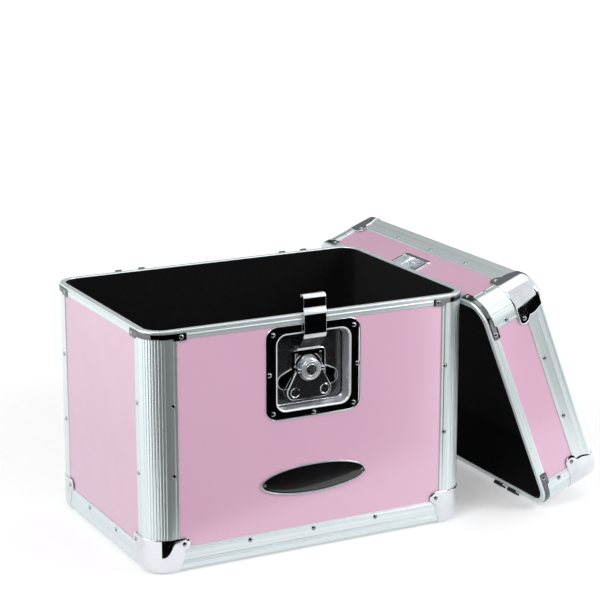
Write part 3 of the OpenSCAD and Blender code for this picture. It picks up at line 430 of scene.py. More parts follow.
lidAcross, lidUp, lidOut = (0.0, -1.0, 0.0), (-sinLean, 0.0, cosLean), (cosLean, 0.0, sinLean)
finishes = {
    "laminate": laminate(), "felt": felt(), "enamel": enamel(), "moulded": moulded(),
    "alloyX": alloy("alloyX", (1, 0, 0)), "alloyY": alloy("alloyY", (0, 1, 0)),
    "alloyZ": alloy("alloyZ", (0, 0, 1), alloyLook["postMetal"]), "alloyLidUp": alloy("alloyLidUp", lidUp),
    "alloyLidOut": alloy("alloyLidOut", lidOut, alloyLook["postMetal"]),
    "chrome": chrome("chrome"), "latchChrome": chrome("latchChrome", 0.03, 0.5),
    "plated": chrome("plated", 0.12, 1.6), "steel": chrome("steel", 0.24, 2.0),
    # the first finish on the next line is chrome darkened to under half: a painted dark reflection on the
    # rivets' domed heads
    "rivet": chrome("rivet", 0.08, 0.5, 0.45), "clamp": chrome("clamp", 0.05, 0.5, 0.2),
    "hinge": chrome("hinge", 0.3, 2.0, 0.12),
    # the first finish on the next line is chrome darkened to 0.6: painted shade on the floor of the latch's
    # recess
    # the second finish on the next line is chrome darkened to 0.8: painted shade on the latch's wing plate
    "recess": chrome("recess", 0.2, 1.5, 0.6, 0.985), "wing": chrome("wing", 0.14, 1.6, 0.8, 0.985),
    # the first finish on the next line is chrome with a quarter of it diffuse, which reads bright: a painted
    # bright reflection on the dish's wall and the spindle
    # the second finish on the next line is chrome that is mostly diffuse and reads nearly white: a painted
    # highlight on the latch's lip, bevels and bends
    "paintedBrightChrome": chrome("paintedBrightChrome", 0.2, 1.0, 1.0, 0.75), "paintedHighlight": chrome("paintedHighlight", 0.3, 1.0, 1.0, 0.3),
    # the finish on the next line is chrome darkened nearly to black: painted shade on the slope of the hook's
    # strap
    "slope": chrome("slope", 0.2, 0.5, 0.07)}
print("finishes made:", len(finishes))

nodeFinish = {"panel": "laminate", "lining": "felt", "rivets": "rivet", "hinge": "hinge",
              "collar": "steel", "wing_pin": "plated", "bail": "chrome", "mounts": "plated"}
for nodeName, thing in frame["nodes"].items():
    key = next((k for k in nodeFinish if k in nodeName), None)
    if key:
        thing.data.materials.clear()
        thing.data.materials.append(finishes[nodeFinish[key]])


# ---------- posts, edging and rims ----------

postShape = {"reach": 33.0, "flutes": 9, "fluteSpan": 27.0, "fluteDepth": 0.36, "fluteWidth": 0.5,
             "lineIn": 3.4, "lineDepth": 0.55, "lineWidth": 0.45, "edge": 0.7, "rimTop": 2.5}


def postPiece(name, place, trayH, sx, sy, finish, body, node):
    # the plan of the post's skin, drawn straight up: flat flanges, a round corner with flutes cut
    # into it, one fine line beside each long edge, and rounded edges
    s, r = postShape, case["cornerR"]
    bendL = r * math.pi / 2
    flange = s["reach"] - r
    half = bendL / 2 + flange
    t = np.linspace(-half, half, 361)
    edgeIn = half - np.abs(t)
    out = -groove(edgeIn - s["lineIn"], s["lineDepth"], s["lineWidth"])
    out -= s["edge"] * (1 - np.sqrt(1 - (1 - np.clip(edgeIn / s["edge"], 0, 1)) ** 2))
    flutes = np.linspace(-0.5, 0.5, s["flutes"]) * s["fluteSpan"]
    out -= groove(t[:, None] - flutes, s["fluteDepth"], s["fluteWidth"]).sum(1)
    angle = np.pi / 4 - np.clip(t, -bendL / 2, bendL / 2) / r
    past = np.clip(np.abs(t) - bendL / 2, 0, None)

    def wall(offset):
        x = halfW - r + (r + offset) * np.cos(angle) - np.where(t < 0, past, 0)
        y = halfD - r + (r + offset) * np.sin(angle) - np.where(t > 0, past, 0)
        ends = case["edgeR"], trayH - s["rimTop"]
        return np.stack([np.stack([x, y, np.full_like(x, z)], -1) for z in ends])

    shape = Shape(corner(place, sx, sy)).slab(wall(out), wall(-case["skin"]))
    return shape.piece(name, finish, body, "aluminium", [node], 60)


edgingShape = {"leg": 27.0, "lineIn": 2.2, "lineDepth": 0.4, "lineWidth": 0.4, "edge": 0.7,
               "ribs": (9.5, 11.2, 12.9), "ribDepth": 0.22, "ribWidth": 0.35}


def edgingSection():
    # outside of the edging from its upper long edge, down the wall, round the bend and under the
    # floor: (out, z) of the skin, with a line by each long edge and fine ribs above the bend
    s, r = edgingShape, case["edgeR"]
    bendL = r * math.pi / 2
    leg = s["leg"] - r
    t = np.linspace(0, 2 * leg + bendL, 260)
    angle = np.clip((t - leg) / r, 0, np.pi / 2)
    edgeIn = np.minimum(t, t[-1] - t)
    sink = groove(edgeIn - s["lineIn"], s["lineDepth"], s["lineWidth"])
    sink += s["edge"] * (1 - np.sqrt(1 - (1 - np.clip(edgeIn / s["edge"], 0, 1)) ** 2))
    for z in s["ribs"]:
        sink += groove(t - (s["leg"] - z), s["ribDepth"], s["ribWidth"])

    def section(offset):
        out = -r + (r + offset) * np.cos(angle) - np.clip(t - leg - bendL, 0, None)
        z = r - (r + offset) * np.sin(angle) + np.clip(leg - t, 0, None)
        return out, z

    return section(-sink), section(-case["skin"])


def edgingPiece(name, place, side, finish, body, node):
    # the section drawn straight along one wall, between the two corners
    along = (halfW if side in "fb" else halfD) - postShape["reach"]
    turn = {"f": (-1, halfD), "b": (1, halfD), "l": (-1, halfW), "r": (1, halfW)}[side]
    sheets = []
    for out, z in edgingSection():
        wall = turn[0] * (turn[1] + out)
        rows = [np.stack([np.full_like(z, e * along), wall, z], -1) for e in (-1, 1)]
        grid = np.stack(rows)
        sheets.append(grid if side in "fb" else grid[..., [1, 0, 2]])
    shape = Shape(place).slab(*sheets)
    return shape.piece(name, finish, body, "aluminium", [node], 60)


rimShape = {"top": 2.5, "round": 0.9, "band": 10.0, "lineDrop": 4.8, "lineDepth": 0.45, "lineWidth": 0.45,
            "upperOut": 0.12, "edge": 0.6}


def rimPiece(name, place, trayH, coats, body, node, gap=0.0):
    # top: a flat bar with rounded corners carried round the plan of the case; bands: straight
    # strips down the four walls with one line along them; gap is left open in the front band
    s = rimShape
    a = np.linspace(0, np.pi / 2, 6)
    bar = []                                # (out, z) round the bar's section
    corners = [(0, 0, 0), (-case["wall"], 0, 1), (-case["wall"], -s["top"], 2), (0, -s["top"], 3)]
    for out, z, quarter in corners:
        rr = s["round"] if quarter in (0, 1) else 0.3
        cx, cz = out + (-rr if quarter in (0, 3) else rr), z + (-rr if quarter in (0, 1) else rr)
        bar += [(cx + rr * math.cos(q), cz + rr * math.sin(q)) for q in a + quarter * np.pi / 2]
    rings = [atHeight(roundRect(2 * (halfW + o), 2 * (halfD + o), case["cornerR"] + o, steps=24), trayH + z)
             for o, z in bar]
    ahead = np.abs(np.roll(rings[0], -1, 0) - rings[0])
    kinds = np.tile(ahead[:, 1] > ahead[:, 0], len(rings))      # 1 where the ring runs along a side wall
    shape = Shape(place).loft(np.stack(rings), True, kinds)

    t = np.linspace(s["top"], s["band"], 60)        # distance below the rim
    sink = groove(t - s["lineDrop"], s["lineDepth"], s["lineWidth"])
    sink += s["edge"] * (1 - np.sqrt(1 - (1 - np.clip((s["band"] - t) / s["edge"], 0, 1)) ** 2))
    sink -= s["upperOut"] * (t < s["lineDrop"])
    longRun, shortRun = halfW - postShape["reach"], halfD - postShape["reach"]
    front = [(-longRun, longRun)] if not gap else [(-longRun, -gap / 2), (gap / 2, longRun)]
    runs = [(0, -1, e) for e in front] + [(0, 1, (-longRun, longRun))]
    runs += [(1, -1, (-shortRun, shortRun)), (1, 1, (-shortRun, shortRun))]
    for axis, sign, ends in runs:
        grids = []
        for offset in (-sink, np.full_like(t, -case["skin"])):
            wall = sign * ((halfD, halfW)[axis] + offset)
            rows = [np.stack([np.full_like(t, e), wall, trayH - t], -1) for e in ends]
            grid = np.stack(rows)
            grids.append(grid if axis == 0 else grid[..., [1, 0, 2]])
        shape.slab(*grids, axis)
    return shape.piece(name, coats, body, "aluminium", [node], 50)


# ---------- corner caps and clamps ----------

capShape = {"height": 37.5, "reach": 38.0, "tabR": 7.0, "tabIn": 37.5, "thick": 1.0, "edgeUp": 0.4,
            "roll": 1.3, "under": 9.0, "tuck": 5.0, "clear": 0.06}


def pressedStand(s, border):
    # a sheet's height over the metal: full inside, a quarter round down to its edge at the border
    inward = np.clip(border / s["roll"], 0, 1)
    return s["edgeUp"] + (s["thick"] - s["edgeUp"]) * np.sqrt(1 - (1 - inward) ** 2)


def capPiece(name, place, sx, sy, body, node):
    # pressed sheet round a corner: rows go down the wall, round the bottom edge and under it, and
    # each row's reach follows the tab, the straight skirt and the tuck at the foot; the sheet rolls
    # down to the metal at its borders
    s, r = capShape, case["edgeR"]
    down = np.concatenate([[0, 0.3, 0.8, 1.4], np.linspace(2, s["height"] - r, 26),
                           s["height"] - r + r * np.linspace(0, np.pi / 2, 14)[1:],
                           s["height"] - r + r * np.pi / 2 + np.array([2.0, 5.0, s["under"]])])
    z = np.clip(s["height"] - down, r, None)
    angle = np.clip((down - (s["height"] - r)) / r, 0, np.pi / 2)
    below = np.clip(down - (s["height"] - r) - r * np.pi / 2, 0, None)
    tab = s["tabR"] ** 2 - (down - s["tabR"]) ** 2
    reach = np.maximum(s["reach"], s["tabIn"] + np.sqrt(np.clip(tab, 0, None)))
    reach -= s["tuck"] * ease((down - s["height"] + 2.4 * r) / (2 * r))
    far = cornerDistance(reach)
    border = np.minimum(down[:, None] + 0 * far, reach[:, None] - far)
    stand = pressedStand(s, border)

    def sheet(w):
        out = -r + (r + w) * np.cos(angle)[:, None] - below[:, None]
        return roundCorner(reach, out, z[:, None] - (r + w) * np.sin(angle)[:, None])

    shape = Shape(corner(place, sx, sy)).slab(sheet(stand), sheet(np.full_like(stand, s["clear"])))
    return shape.piece(name, finishes["chrome"], body, "chrome", [node], 50)


clampShape = {"drop": 2.8, "strip": 6.0, "tab": 8.5, "tabStart": 28.5, "reach": 43.5, "thick": 1.0,
              "edgeUp": 0.4, "roll": 1.0, "step": 0.6, "cornerR": 1.5, "clear": 0.06}


def clampPiece(name, place, trayH, body, node):
    # strips round the four corners below the rim, each with a deeper tab at both ends
    s = clampShape
    shape = Shape(lambda p: p)
    rows = np.array([0, 0.03, 0.08, 0.15, 0.3, 0.5, 0.7, 0.85, 0.92, 0.97, 1.0])
    reach = np.full(len(rows), s["reach"])
    far = cornerDistance(reach, 26)
    toEnd = s["reach"] - far
    deep = s["strip"] + (s["tab"] - s["strip"]) * ease((far - s["tabStart"]) / s["step"])
    inCorner = np.clip(s["cornerR"] - toEnd, 0, None)
    trim = s["cornerR"] - np.sqrt(np.clip(s["cornerR"] ** 2 - inCorner ** 2, 0, None))
    depth = trim + rows[:, None] * (deep - 2 * trim)
    border = np.minimum(np.minimum(depth, deep - depth), toEnd)
    stand = pressedStand(s, border)
    z = trayH - s["drop"] - depth
    for sx in (-1, 1):
        for sy in (-1, 1):
            shape.place = corner(place, sx, sy)
            shape.slab(roundCorner(reach, stand, z, 26), roundCorner(reach, stand * 0 + s["clear"], z, 26))
    return shape.piece(name, finishes["clamp"], body, "chrome", [node], 50)


trays = {"body": (placeBody, bodyH, "case", ("alloyZ", "alloyX", "alloyY")),
         "lid": (placeLid, case["lidH"], "lid", ("alloyLidOut", "alloyY", "alloyLidUp"))}
cornerNames = {"front_left": (-1, -1), "front_right": (1, -1), "back_left": (-1, 1), "back_right": (1, 1)}
for tray, (place, trayH, body, (upright, across, deep)) in trays.items():
    for where, (sx, sy) in cornerNames.items():
        label = where.title().replace("_", "")
        postPiece(tray + "Post" + label, place, trayH, sx, sy, finishes[upright], body,
                  f"{tray}_post_{where}")
        capPiece(tray + "Cap" + label, place, sx, sy, body, f"{tray}_cap_{where}")
    for side, finish in zip(("front", "back", "left", "right"), (across, across, deep, deep)):
        edgingPiece(tray + "Edging" + side.title(), place, side[0], finishes[finish], body,
                    f"{tray}_edging_{side}")
    rimPiece(tray + "Rim", place, trayH, [finishes[across], finishes[deep]], body, tray + "_rim",
             gap=0.0 if tray == "body" else 56.6)
    clampPiece(tray + "Clamps", place, trayH, body, tray + "_clamps")
print("posts, edging, rims, caps and clamps made")


# ---------- latch ----------

dishShape = {"flange": (112.0, 102.0, 14.0), "recess": (84.0, 80.0, 10.0), "up": 1.7, "depth": 15.0,
             "sheet": 1.2, "lip": 2.2, "foot": 3.0, "edge": 0.9, "rows": (10, 15, 18)}


def dishPiece():
    # pressed tray: one path of (blend from flange to recess outline, inset, height) from the middle
    # of the floor, up the wall, over the lip and the flange, and back along the hidden side
    s = dishShape
    arc = np.linspace(0, np.pi / 2, 7)

    def ring(blend, inset, z):
        w, h, r = (f + (g - f) * blend for f, g in zip(s["flange"], s["recess"]))
        return atHeight(roundRect(w - 2 * inset, h - 2 * inset, max(r - inset, 0.5), (0, s["up"]), 12), z)

    front = [ring(1, i, 0) for i in (38, 30, 20, 10, 6)]
    front += [ring(1, s["foot"] * (1 - math.sin(q)), s["foot"] * (1 - math.cos(q))) for q in arc]
    front += [ring(1, -s["lip"] * (1 - math.cos(q)), s["depth"] - s["lip"] * (1 - math.sin(q))) for q in arc]
    outer = (s["recess"][0] + 2 * s["lip"] - s["flange"][0]) / (s["recess"][0] - s["flange"][0])
    front += [ring(b, 0, s["depth"]) for b in (outer * 0.75, outer * 0.4)]
    front += [ring(0, s["edge"] * (1 - math.sin(q)), s["depth"] - s["edge"] * (1 - math.cos(q)))
              for q in arc[::-1]]
    back = [ring(0, 0.05, s["depth"] - s["sheet"]), ring(1, -s["sheet"] - 0.5, s["depth"] - s["sheet"]),
            ring(1, -s["sheet"], s["depth"] - s["sheet"] - 1), ring(1, -s["sheet"], 1),
            ring(1, 0.5, -s["sheet"]), ring(1, 38, -s["sheet"])]
    rings = np.stack(front + back)
    # which finish each row of faces has, from the recess's middle outwards
    # the floor gets the darkened chrome, painted shade; the wall a partly diffuse chrome that reads bright, a
    # painted bright reflection; the lip a mostly diffuse chrome, a painted highlight
    row = np.arange((len(rings) - 1) * rings.shape[1]) // rings.shape[1]
    kinds = np.select([row < r for r in s["rows"]], (1, 2, 3), 0)
    shape = Shape(placeLatch).loft(rings, kinds=kinds)
    coats = [finishes[k] for k in ("latchChrome", "recess", "paintedBrightChrome", "paintedHighlight")]
    return shape.piece("latchDish", coats, "case", "chrome", ["latch_dish"], 50)


baseShape = {"middleR": 17.0, "earR": 9.0, "earX": 27.0, "earDown": 12.0, "thick": 1.5, "bevel": 0.6}


def basePiece():
    # outline seen from the spindle: the farther of the middle's circle and the two round-ended arms
    s = baseShape
    arm = math.hypot(s["earX"], s["earDown"])
    angle = np.linspace(0, 2 * np.pi, 240, endpoint=False)
    r = np.full_like(angle, s["middleR"])
    for heading in (-math.atan2(s["earDown"], s["earX"]), math.pi + math.atan2(s["earDown"], s["earX"])):
        off = (angle - heading + np.pi) % (2 * np.pi) - np.pi
        side = s["earR"] / np.maximum(np.abs(np.sin(off)), 1e-6)
        end = arm * np.cos(off) + np.sqrt(np.clip(s["earR"] ** 2 - (arm * np.sin(off)) ** 2, 0, None))
        inArm = side * np.cos(off) <= arm
        r = np.maximum(r, np.where(np.cos(off) > 0, np.where(inArm, side, end), 0))
    outline = np.stack([r * np.cos(angle), r * np.sin(angle)], -1)
    rings = plateRings(outline, 0, s["thick"], s["bevel"])
    # the front bevel gets the mostly diffuse chrome: a painted highlight along its edge
    kinds = np.arange((len(rings) - 1) * len(outline)) // len(outline) > 3      # the bevel of the front
    shape = Shape(placeLatch).loft(rings, kinds=kinds)
    return shape.piece("latchBase", [finishes["latchChrome"], finishes["paintedHighlight"]], "case", "chrome",
                       ["latch_base_plate"], 35)


headShape = {"r": 11.5, "z": 3.6, "h": 6.0, "dome": 1.3, "round": 1.6, "shaftR": 4.5, "tail": 3.8,
             "camThrow": 5.0, "camR": 10.0, "camZ": (1.8, 3.3), "rings": (6.4, 9.3), "ringDepth": 0.5,
             "ringWidth": 0.35}


def spindlePiece():
    # turned head: a domed face with two rings cut in it and a rounded rim, on the shaft and the cam
    s = headShape
    top = s["z"] + s["h"]
    r = np.linspace(0.4, s["r"] - s["round"], 60)[::-1]
    face = top + s["dome"] * (1 - (r / s["r"]) ** 2)
    for ring in s["rings"]:
        face = face - groove(r - ring, s["ringDepth"], s["ringWidth"])
    arc = np.linspace(0, np.pi / 2, 7)[:-1]
    start = top + s["dome"] * (1 - ((s["r"] - s["round"]) / s["r"]) ** 2)
    side = [(s["r"] - 0.4, s["z"]), (s["r"], s["z"] + 0.4), (s["r"], s["z"] + 2.6),
            (s["r"] - 0.5, s["z"] + 2.9), (s["r"] - 0.5, s["z"] + 3.3), (s["r"], s["z"] + 3.6)]
    rim = [(s["r"] - s["round"] * (1 - math.cos(q)), start - s["round"] * (1 - math.sin(q))) for q in arc]
    shape = Shape(placeLatch)
    profile = np.array([(0.4, s["z"])] + side + rim + list(zip(r, face)))
    # the spindle is a partly diffuse chrome that reads bright, a painted bright reflection; the face inside
    # the first ring gets the fully metallic steel and reads darker
    shape.loft(turned(profile, 64), kinds=np.repeat(
        (profile[1:, 0] < s["rings"][0]) & (profile[1:, 1] > s["z"] + 1), 64))
    shape.loft(turned([(s["shaftR"], -s["tail"] + 0.4), (s["shaftR"], s["z"])]))
    cam = turned([(s["camR"] - 0.2, s["camZ"][0]), (s["camR"], s["camZ"][0] + 0.2),
                  (s["camR"], s["camZ"][1] - 0.2), (s["camR"] - 0.2, s["camZ"][1])])
    shape.loft(cam + [0, s["camThrow"], 0])
    return shape.piece("latchSpindle", [finishes["paintedBrightChrome"], finishes["steel"]], "latch_spindle_body", "chrome",
                       ["latch_spindle"], 30)


hookShape = {"thick": 1.5, "width": 26.0, "edge": 0.45, "bend": 2.2, "yoke": (39.8, 31.8),
             "window": (30.8, 22.8), "yokeR": 4.5, "camThrow": 5.0, "z0": 1.8,
             "path": [(1.8, 15.0), (1.8, 22.5), (17.0, 39.0), (17.0, 64.0), (15.4, 67.5), (15.4, 81.5),
                      (10.4, 81.5), (10.4, 79.0)]}


def bentPath(points, radius, steps=7):
    # a polyline with each bend eased by a quadratic curve that starts and ends radius from it
    points = np.array(points, float)
    rows = [points[:1]]
    t = np.linspace(0, 1, steps)[:, None]
    for before, here, after in zip(points[:-2], points[1:-1], points[2:]):
        legs = [np.linalg.norm(before - here), np.linalg.norm(after - here)]
        cut = min(radius, *(0.48 * leg for leg in legs))
        a, b = here + (before - here) * cut / legs[0], here + (after - here) * cut / legs[1]
        rows.append((1 - t) ** 2 * a + 2 * t * (1 - t) * here + t ** 2 * b)
    return np.vstack(rows + [points[-1:]])


def hookPiece():
    # strap: a flat bar with rounded edges carried along its bent side view; yoke: a ring between a
    # rounded outline and its window
    s = hookShape
    path = bentPath(s["path"], s["bend"])               # (outwards, upwards) of the strap's back
    along = np.gradient(path, axis=0)
    along /= np.linalg.norm(along, axis=1)[:, None]
    normal = np.stack([along[:, 1], -along[:, 0]], -1)
    bar = roundRect(s["width"], s["thick"], s["edge"], (0, s["thick"] / 2), 4)
    z, y = (path[:, None, k] + normal[:, None, k] * bar[:, 1] for k in (0, 1))
    strap = np.stack([np.broadcast_to(bar[:, 0], z.shape), y, z], -1)
    slant = np.repeat(np.minimum(*np.abs(np.diff(path, axis=0)).T) > 0.02, len(bar))
    straight = np.repeat(np.linalg.norm(np.diff(path, axis=0), axis=1) > s["bend"], len(bar))
    # the slope gets the nearly black chrome, painted shade; its bends get the mostly diffuse chrome, painted
    # highlights
    kinds = np.where(slant, np.where(straight, 1, 2), 0)        # 1 on the slope, 2 on its bends
    shape = Shape(placeLatch).loft(strap, kinds=kinds)
    middle = (0, s["camThrow"])
    rings = []
    for q in np.linspace(0, 2 * np.pi, 16, endpoint=False):
        blend = 0.5 + 0.5 * math.cos(q)
        flat = 0.5 + 0.5 * np.clip(1.35 * math.sin(q), -1, 1)
        blend = np.clip((blend - 0.5) * 1.08 + 0.5, 0, 1)
        w, h = (i + (o - i) * blend for i, o in zip(s["window"], s["yoke"]))
        yokeLine = roundRect(w, h, 0.5 + (s["yokeR"] - 0.5) * blend, middle, 8)
        rings.append(atHeight(yokeLine, s["z0"] + s["thick"] * flat))
    shape.loft(np.stack(rings), loop=True)
    coats = [finishes["latchChrome"], finishes["slope"], finishes["paintedHighlight"]]
    return shape.piece("latchHook", coats, "latch_hook_body", "chrome", ["latch_hook"], 40)


wingShape = {"lobeR": 8.5, "lobeX": 17.5, "lobeDown": 24.0, "holeR": 3.5, "ringR": 5.2, "headR": 12.2,
             "earW": 3.5, "earR": 3.0, "thick": 1.5, "z": 3.6, "pinZ": 6.6, "pinR": 1.55, "topY": -1.5,
             "bevel": 0.5, "border": 0.7, "sideAngle": 20.0}


def wingHalf(sign, inner):
    # half of the bell-shaped plate as a polar grid about its lobe: each ray runs from the inner
    # radius to the half plate's outline, which is found as the nearest of its edges
    s = wingShape
    cx, cy = s["lobeX"], -s["lobeDown"]
    angle = np.linspace(0, 2 * np.pi, 145)[:-1]
    dx, dy = np.cos(angle), np.sin(angle)
    far = np.full_like(angle, 1e3)

    def edge(nx, ny, reach):
        # straight edge: points with n . p = reach, seen from the lobe's middle
        pace = nx * dx + ny * dy
        hit = (reach - nx * cx - ny * cy) / np.where(np.abs(pace) < 1e-9, 1e-9, pace)
        return np.where(pace > 1e-9, hit, 1e3)

    far = np.minimum(far, edge(-1, 0, 0))                       # middle of the wing
    far = np.minimum(far, edge(0, 1, s["topY"]))                # top, just under the pin
    far = np.minimum(far, edge(0, -1, s["lobeDown"] + s["lobeR"]))
    endX = s["headR"] + s["earW"]
    lobe = np.array([cx + s["lobeR"] * math.cos(math.radians(s["sideAngle"])),
                     cy + s["lobeR"] * math.sin(math.radians(s["sideAngle"]))])
    slope = lobe - [endX, -s["earR"]]
    slope /= np.linalg.norm(slope)
    nx, ny = -slope[1], slope[0]
    far = np.minimum(far, edge(nx, ny, nx * lobe[0] + ny * lobe[1]))
    onLobe = (dx >= 0) & (angle < math.radians(s["sideAngle"])) | (angle > 1.5 * np.pi)
    far = np.where(onLobe, s["lobeR"], far)
    # the round cut for the spindle's head
    toward = -(cx * dx + cy * dy)
    miss = cx ** 2 + cy ** 2 - toward ** 2
    cut = toward - np.sqrt(np.clip(s["headR"] ** 2 - miss, 0, None))
    far = np.where((miss < s["headR"] ** 2) & (toward > 0), np.minimum(far, cut), far)
    share = np.concatenate([[0, 0.05, 0.12], np.linspace(0.2, 0.9, 12), [1]])
    radius = np.vstack([inner + (far - s["border"] - inner) * share[:, None], far])
    raised = 0.45 * np.exp(-((radius - s["ringR"]) / 0.55) ** 2)
    fade = ease((far - radius) / 1.2)
    x, y = cx + radius * dx, cy + radius * dy
    return sign * x, y, raised * fade


def wingPiece():
    # two half plates that meet in the middle, a raised ring round the hole in the right lobe and
    # round the dimple in the left one, and an ear at each end of the pin
    s = wingShape
    shape = Shape(placeLatch)
    for sign, inner in ((1, s["holeR"]), (-1, 0.2)):
        x, y, up = wingHalf(sign, inner)
        if sign < 0:
            middle = np.hypot(x + s["lobeX"], y + s["lobeDown"])
            up = up - 0.35 * (1 - ease(middle / 4.6))
        edgeDrop = np.zeros_like(x)
        edgeDrop[-1] = s["bevel"]
        outline = np.abs(x) < 0.01
        edgeDrop[outline] = 0
        top = np.stack([x, y, s["z"] + s["thick"] + up - edgeDrop], -1)
        low = np.stack([x, y, np.full_like(x, s["z"])], -1)
        rows, cols = x.shape
        loop = np.concatenate([top, low[::-1]])
        quads = gridFaces(2 * rows, cols, True, True)
        # the outer bevel and side faces get the mostly diffuse chrome: a painted highlight along the plate's
        # edge
        lastRows = np.isin(np.arange(len(quads)) // cols, (rows - 2, rows - 1))
        atEdge = lastRows & ~outline.ravel()[quads % (rows * cols)].any(1)
        shape.shell(loop, quads, (), atEdge)
    a = np.linspace(0, 2 * np.pi, 28, endpoint=False)
    for sign in (-1, 1):
        rings = []
        ends = (s["headR"], s["headR"] + s["earW"])
        for x, r in ((ends[0], s["pinR"]), (ends[0], s["earR"] - 0.3), (ends[0] + 0.3, s["earR"]),
                     (ends[1] - 0.3, s["earR"]), (ends[1], s["earR"] - 0.3), (ends[1], s["pinR"])):
            rings.append(np.stack([sign * (x + 0 * a), r * np.cos(a), s["pinZ"] + r * np.sin(a)], -1))
        shape.loft(np.stack(rings), loop=True)
    coats = [finishes["wing"], finishes["paintedHighlight"]]
    return shape.piece("latchWing", coats, "latch_wing_body", "chrome", ["latch_wing"], 35)


dishPiece()
basePiece()
spindlePiece()
hookPiece()
wingPiece()
print("latch made")


# ---------- badge, strike and grip ----------

badgeShape = {"w": 125.0, "h": 34.0, "z": 80.0, "frameW": 2.2, "frameT": 2.4, "faceT": 1.4, "gap": 0.05,
              "crown": 0.3}


def oval(inset, count=96):
    a = np.linspace(0, 2 * np.pi, count, endpoint=False)
    halfX, halfY = (badgeShape[k] / 2 - inset for k in "wh")
    return np.stack([halfX * np.cos(a), halfY * np.sin(a)], -1)


def placeBadge(p):
    return (middle + np.stack([p[..., 0], -panelY - p[..., 2], badgeShape["z"] + p[..., 1]], -1)) * mm


def badgePieces():
    # frame: a half-round moulding carried round an oval; face: rings from its rim to a low crown
    s = badgeShape
    arc = np.linspace(0, np.pi, 11)
    half = s["frameW"] / 2
    rings = [atHeight(oval(half + half * math.cos(q)), 1.0 + (s["frameT"] - 1.0) * math.sin(q)) for q in arc]
    rings += [atHeight(oval(0), 0), atHeight(oval(s["frameW"]), 0)]
    Shape(placeBadge).loft(np.stack(rings), loop=True).piece(
        "badgeFrame", finishes["chrome"], "case", "chrome", ["badge_frame"], 50)
    start = s["frameW"] + s["gap"]
    insets = np.linspace(start, s["h"] / 2 - 0.4, 12)
    crown = s["crown"] * (1 - ((s["h"] / 2 - insets) / (s["h"] / 2 - start)) ** 2)
    crown -= s["crown"]
    crown -= groove(insets - start - 1.6, 0.25, 0.3)
    rings = [atHeight(oval(start), 0)] + [atHeight(oval(i), s["faceT"] + c) for i, c in zip(insets, crown)]
    Shape(placeBadge).loft(np.stack(rings)).piece(
        "badgeFace", finishes["enamel"], "case", "black_enamel", ["badge_face"], 40)


strikeShape = {"w": 56.0, "near": 4.0, "far": 37.0, "r": 4.0, "pocketW": 46.0, "lip": 8.3, "under": 2.7,
               "pocketTop": 33.0, "pocketDepth": 8.5, "sheet": 1.2, "edge": 0.5}


def strikePiece():
    # pressed plate: from its outer edge over the flange to the mouth, then into a pocket that runs
    # on behind the mouth's near edge, and back along the hidden side
    s = strikeShape
    flange = (s["w"], s["far"] - s["near"], s["r"], (0, (s["near"] + s["far"]) / 2))
    mouth = (s["pocketW"], s["pocketTop"] - s["lip"], 1.2, (0, (s["lip"] + s["pocketTop"]) / 2))
    near = s["lip"] - s["under"]
    pocket = (s["pocketW"], s["pocketTop"] - near, 1.2, (0, (near + s["pocketTop"]) / 2))

    def ring(form, inset, z):
        w, h, r, middle = form
        return atHeight(roundRect(w - 2 * inset, h - 2 * inset, max(r - inset, 0.3), middle, 8), z)

    bottom = s["sheet"] - s["pocketDepth"]
    rings = [ring(flange, 0, 0), ring(flange, 0, s["sheet"] - s["edge"]),
             ring(flange, s["edge"] * 0.3, s["sheet"] - s["edge"] * 0.3), ring(flange, s["edge"], s["sheet"]),
             ring(mouth, -0.5, s["sheet"]), ring(mouth, -0.15, s["sheet"] - 0.15),
             ring(mouth, 0, s["sheet"] - 0.5),
             ring(mouth, 0, 0.02), ring(pocket, 0, 0), ring(pocket, 0, bottom + 1), ring(pocket, 1, bottom),
             ring(pocket, 8, bottom), ring(pocket, 8, bottom - s["sheet"]),
             ring(pocket, -s["sheet"] + 1, bottom - s["sheet"]),
             ring(pocket, -s["sheet"], bottom - s["sheet"] + 1), ring(pocket, -s["sheet"], -0.02)]
    shape = Shape(placeStrike)
    rows = np.stack(rings)
    # the pocket's floor is one filled face on each side of the sheet
    n = rows.shape[1]
    quads = gridFaces(len(rings), n, True, True)
    floorRow, backRow = 11, 12
    keep = ~((quads[:, 0] // n == floorRow) & (quads[:, 2] // n == backRow))
    ends = np.arange(n)
    inside = quads[keep][:, 0] // n > 6
    shape.shell(rows, quads[keep], [floorRow * n + ends, (backRow * n + ends)[::-1]], inside)
    shape.kinds[-2:] = 1, 1
    return shape.piece("strikePlate", [finishes["latchChrome"], finishes["steel"]], "lid", "chrome",
                       ["strike_plate"], 40)


gripShape = {"r": 7.0, "length": 80.0, "bore": 3.02, "ribs": 15, "ribDepth": 0.5, "ribWidth": 0.9,
             "endR": 2.0, "span": 6.0}


def gripPiece():
    # turned sleeve on the bail: rounded ends and shallow finger grooves, bored through
    s = gripShape
    bail = boxOf("handle_grip")
    centre = (bail[0] + bail[1]) / 2
    u = np.linspace(-s["length"] / 2, s["length"] / 2, 340)
    endIn = s["length"] / 2 - np.abs(u)
    r = s["r"] - s["endR"] * (1 - np.sqrt(1 - (1 - np.clip(endIn / s["endR"], 0, 1)) ** 2))
    places = (np.arange(s["ribs"]) - (s["ribs"] - 1) / 2) * (s["length"] - 2 * s["span"]) / (s["ribs"] - 1)
    r = r - groove(u[:, None] - places, s["ribDepth"], s["ribWidth"]).sum(1)
    profile = [(s["bore"], u[0])] + list(zip(r, u)) + [(s["bore"], u[-1])]
    rings = turned(profile, 40)
    # the turned axis lies along the lid's width, so z becomes y
    placed = np.stack([rings[..., 0], rings[..., 2], rings[..., 1]], -1)
    shape = Shape(lambda p: (p + centre) * mm).loft(placed, loop=True)
    return shape.piece("handleGrip", finishes["moulded"], "handle", "grip", ["handle_grip"], 40)


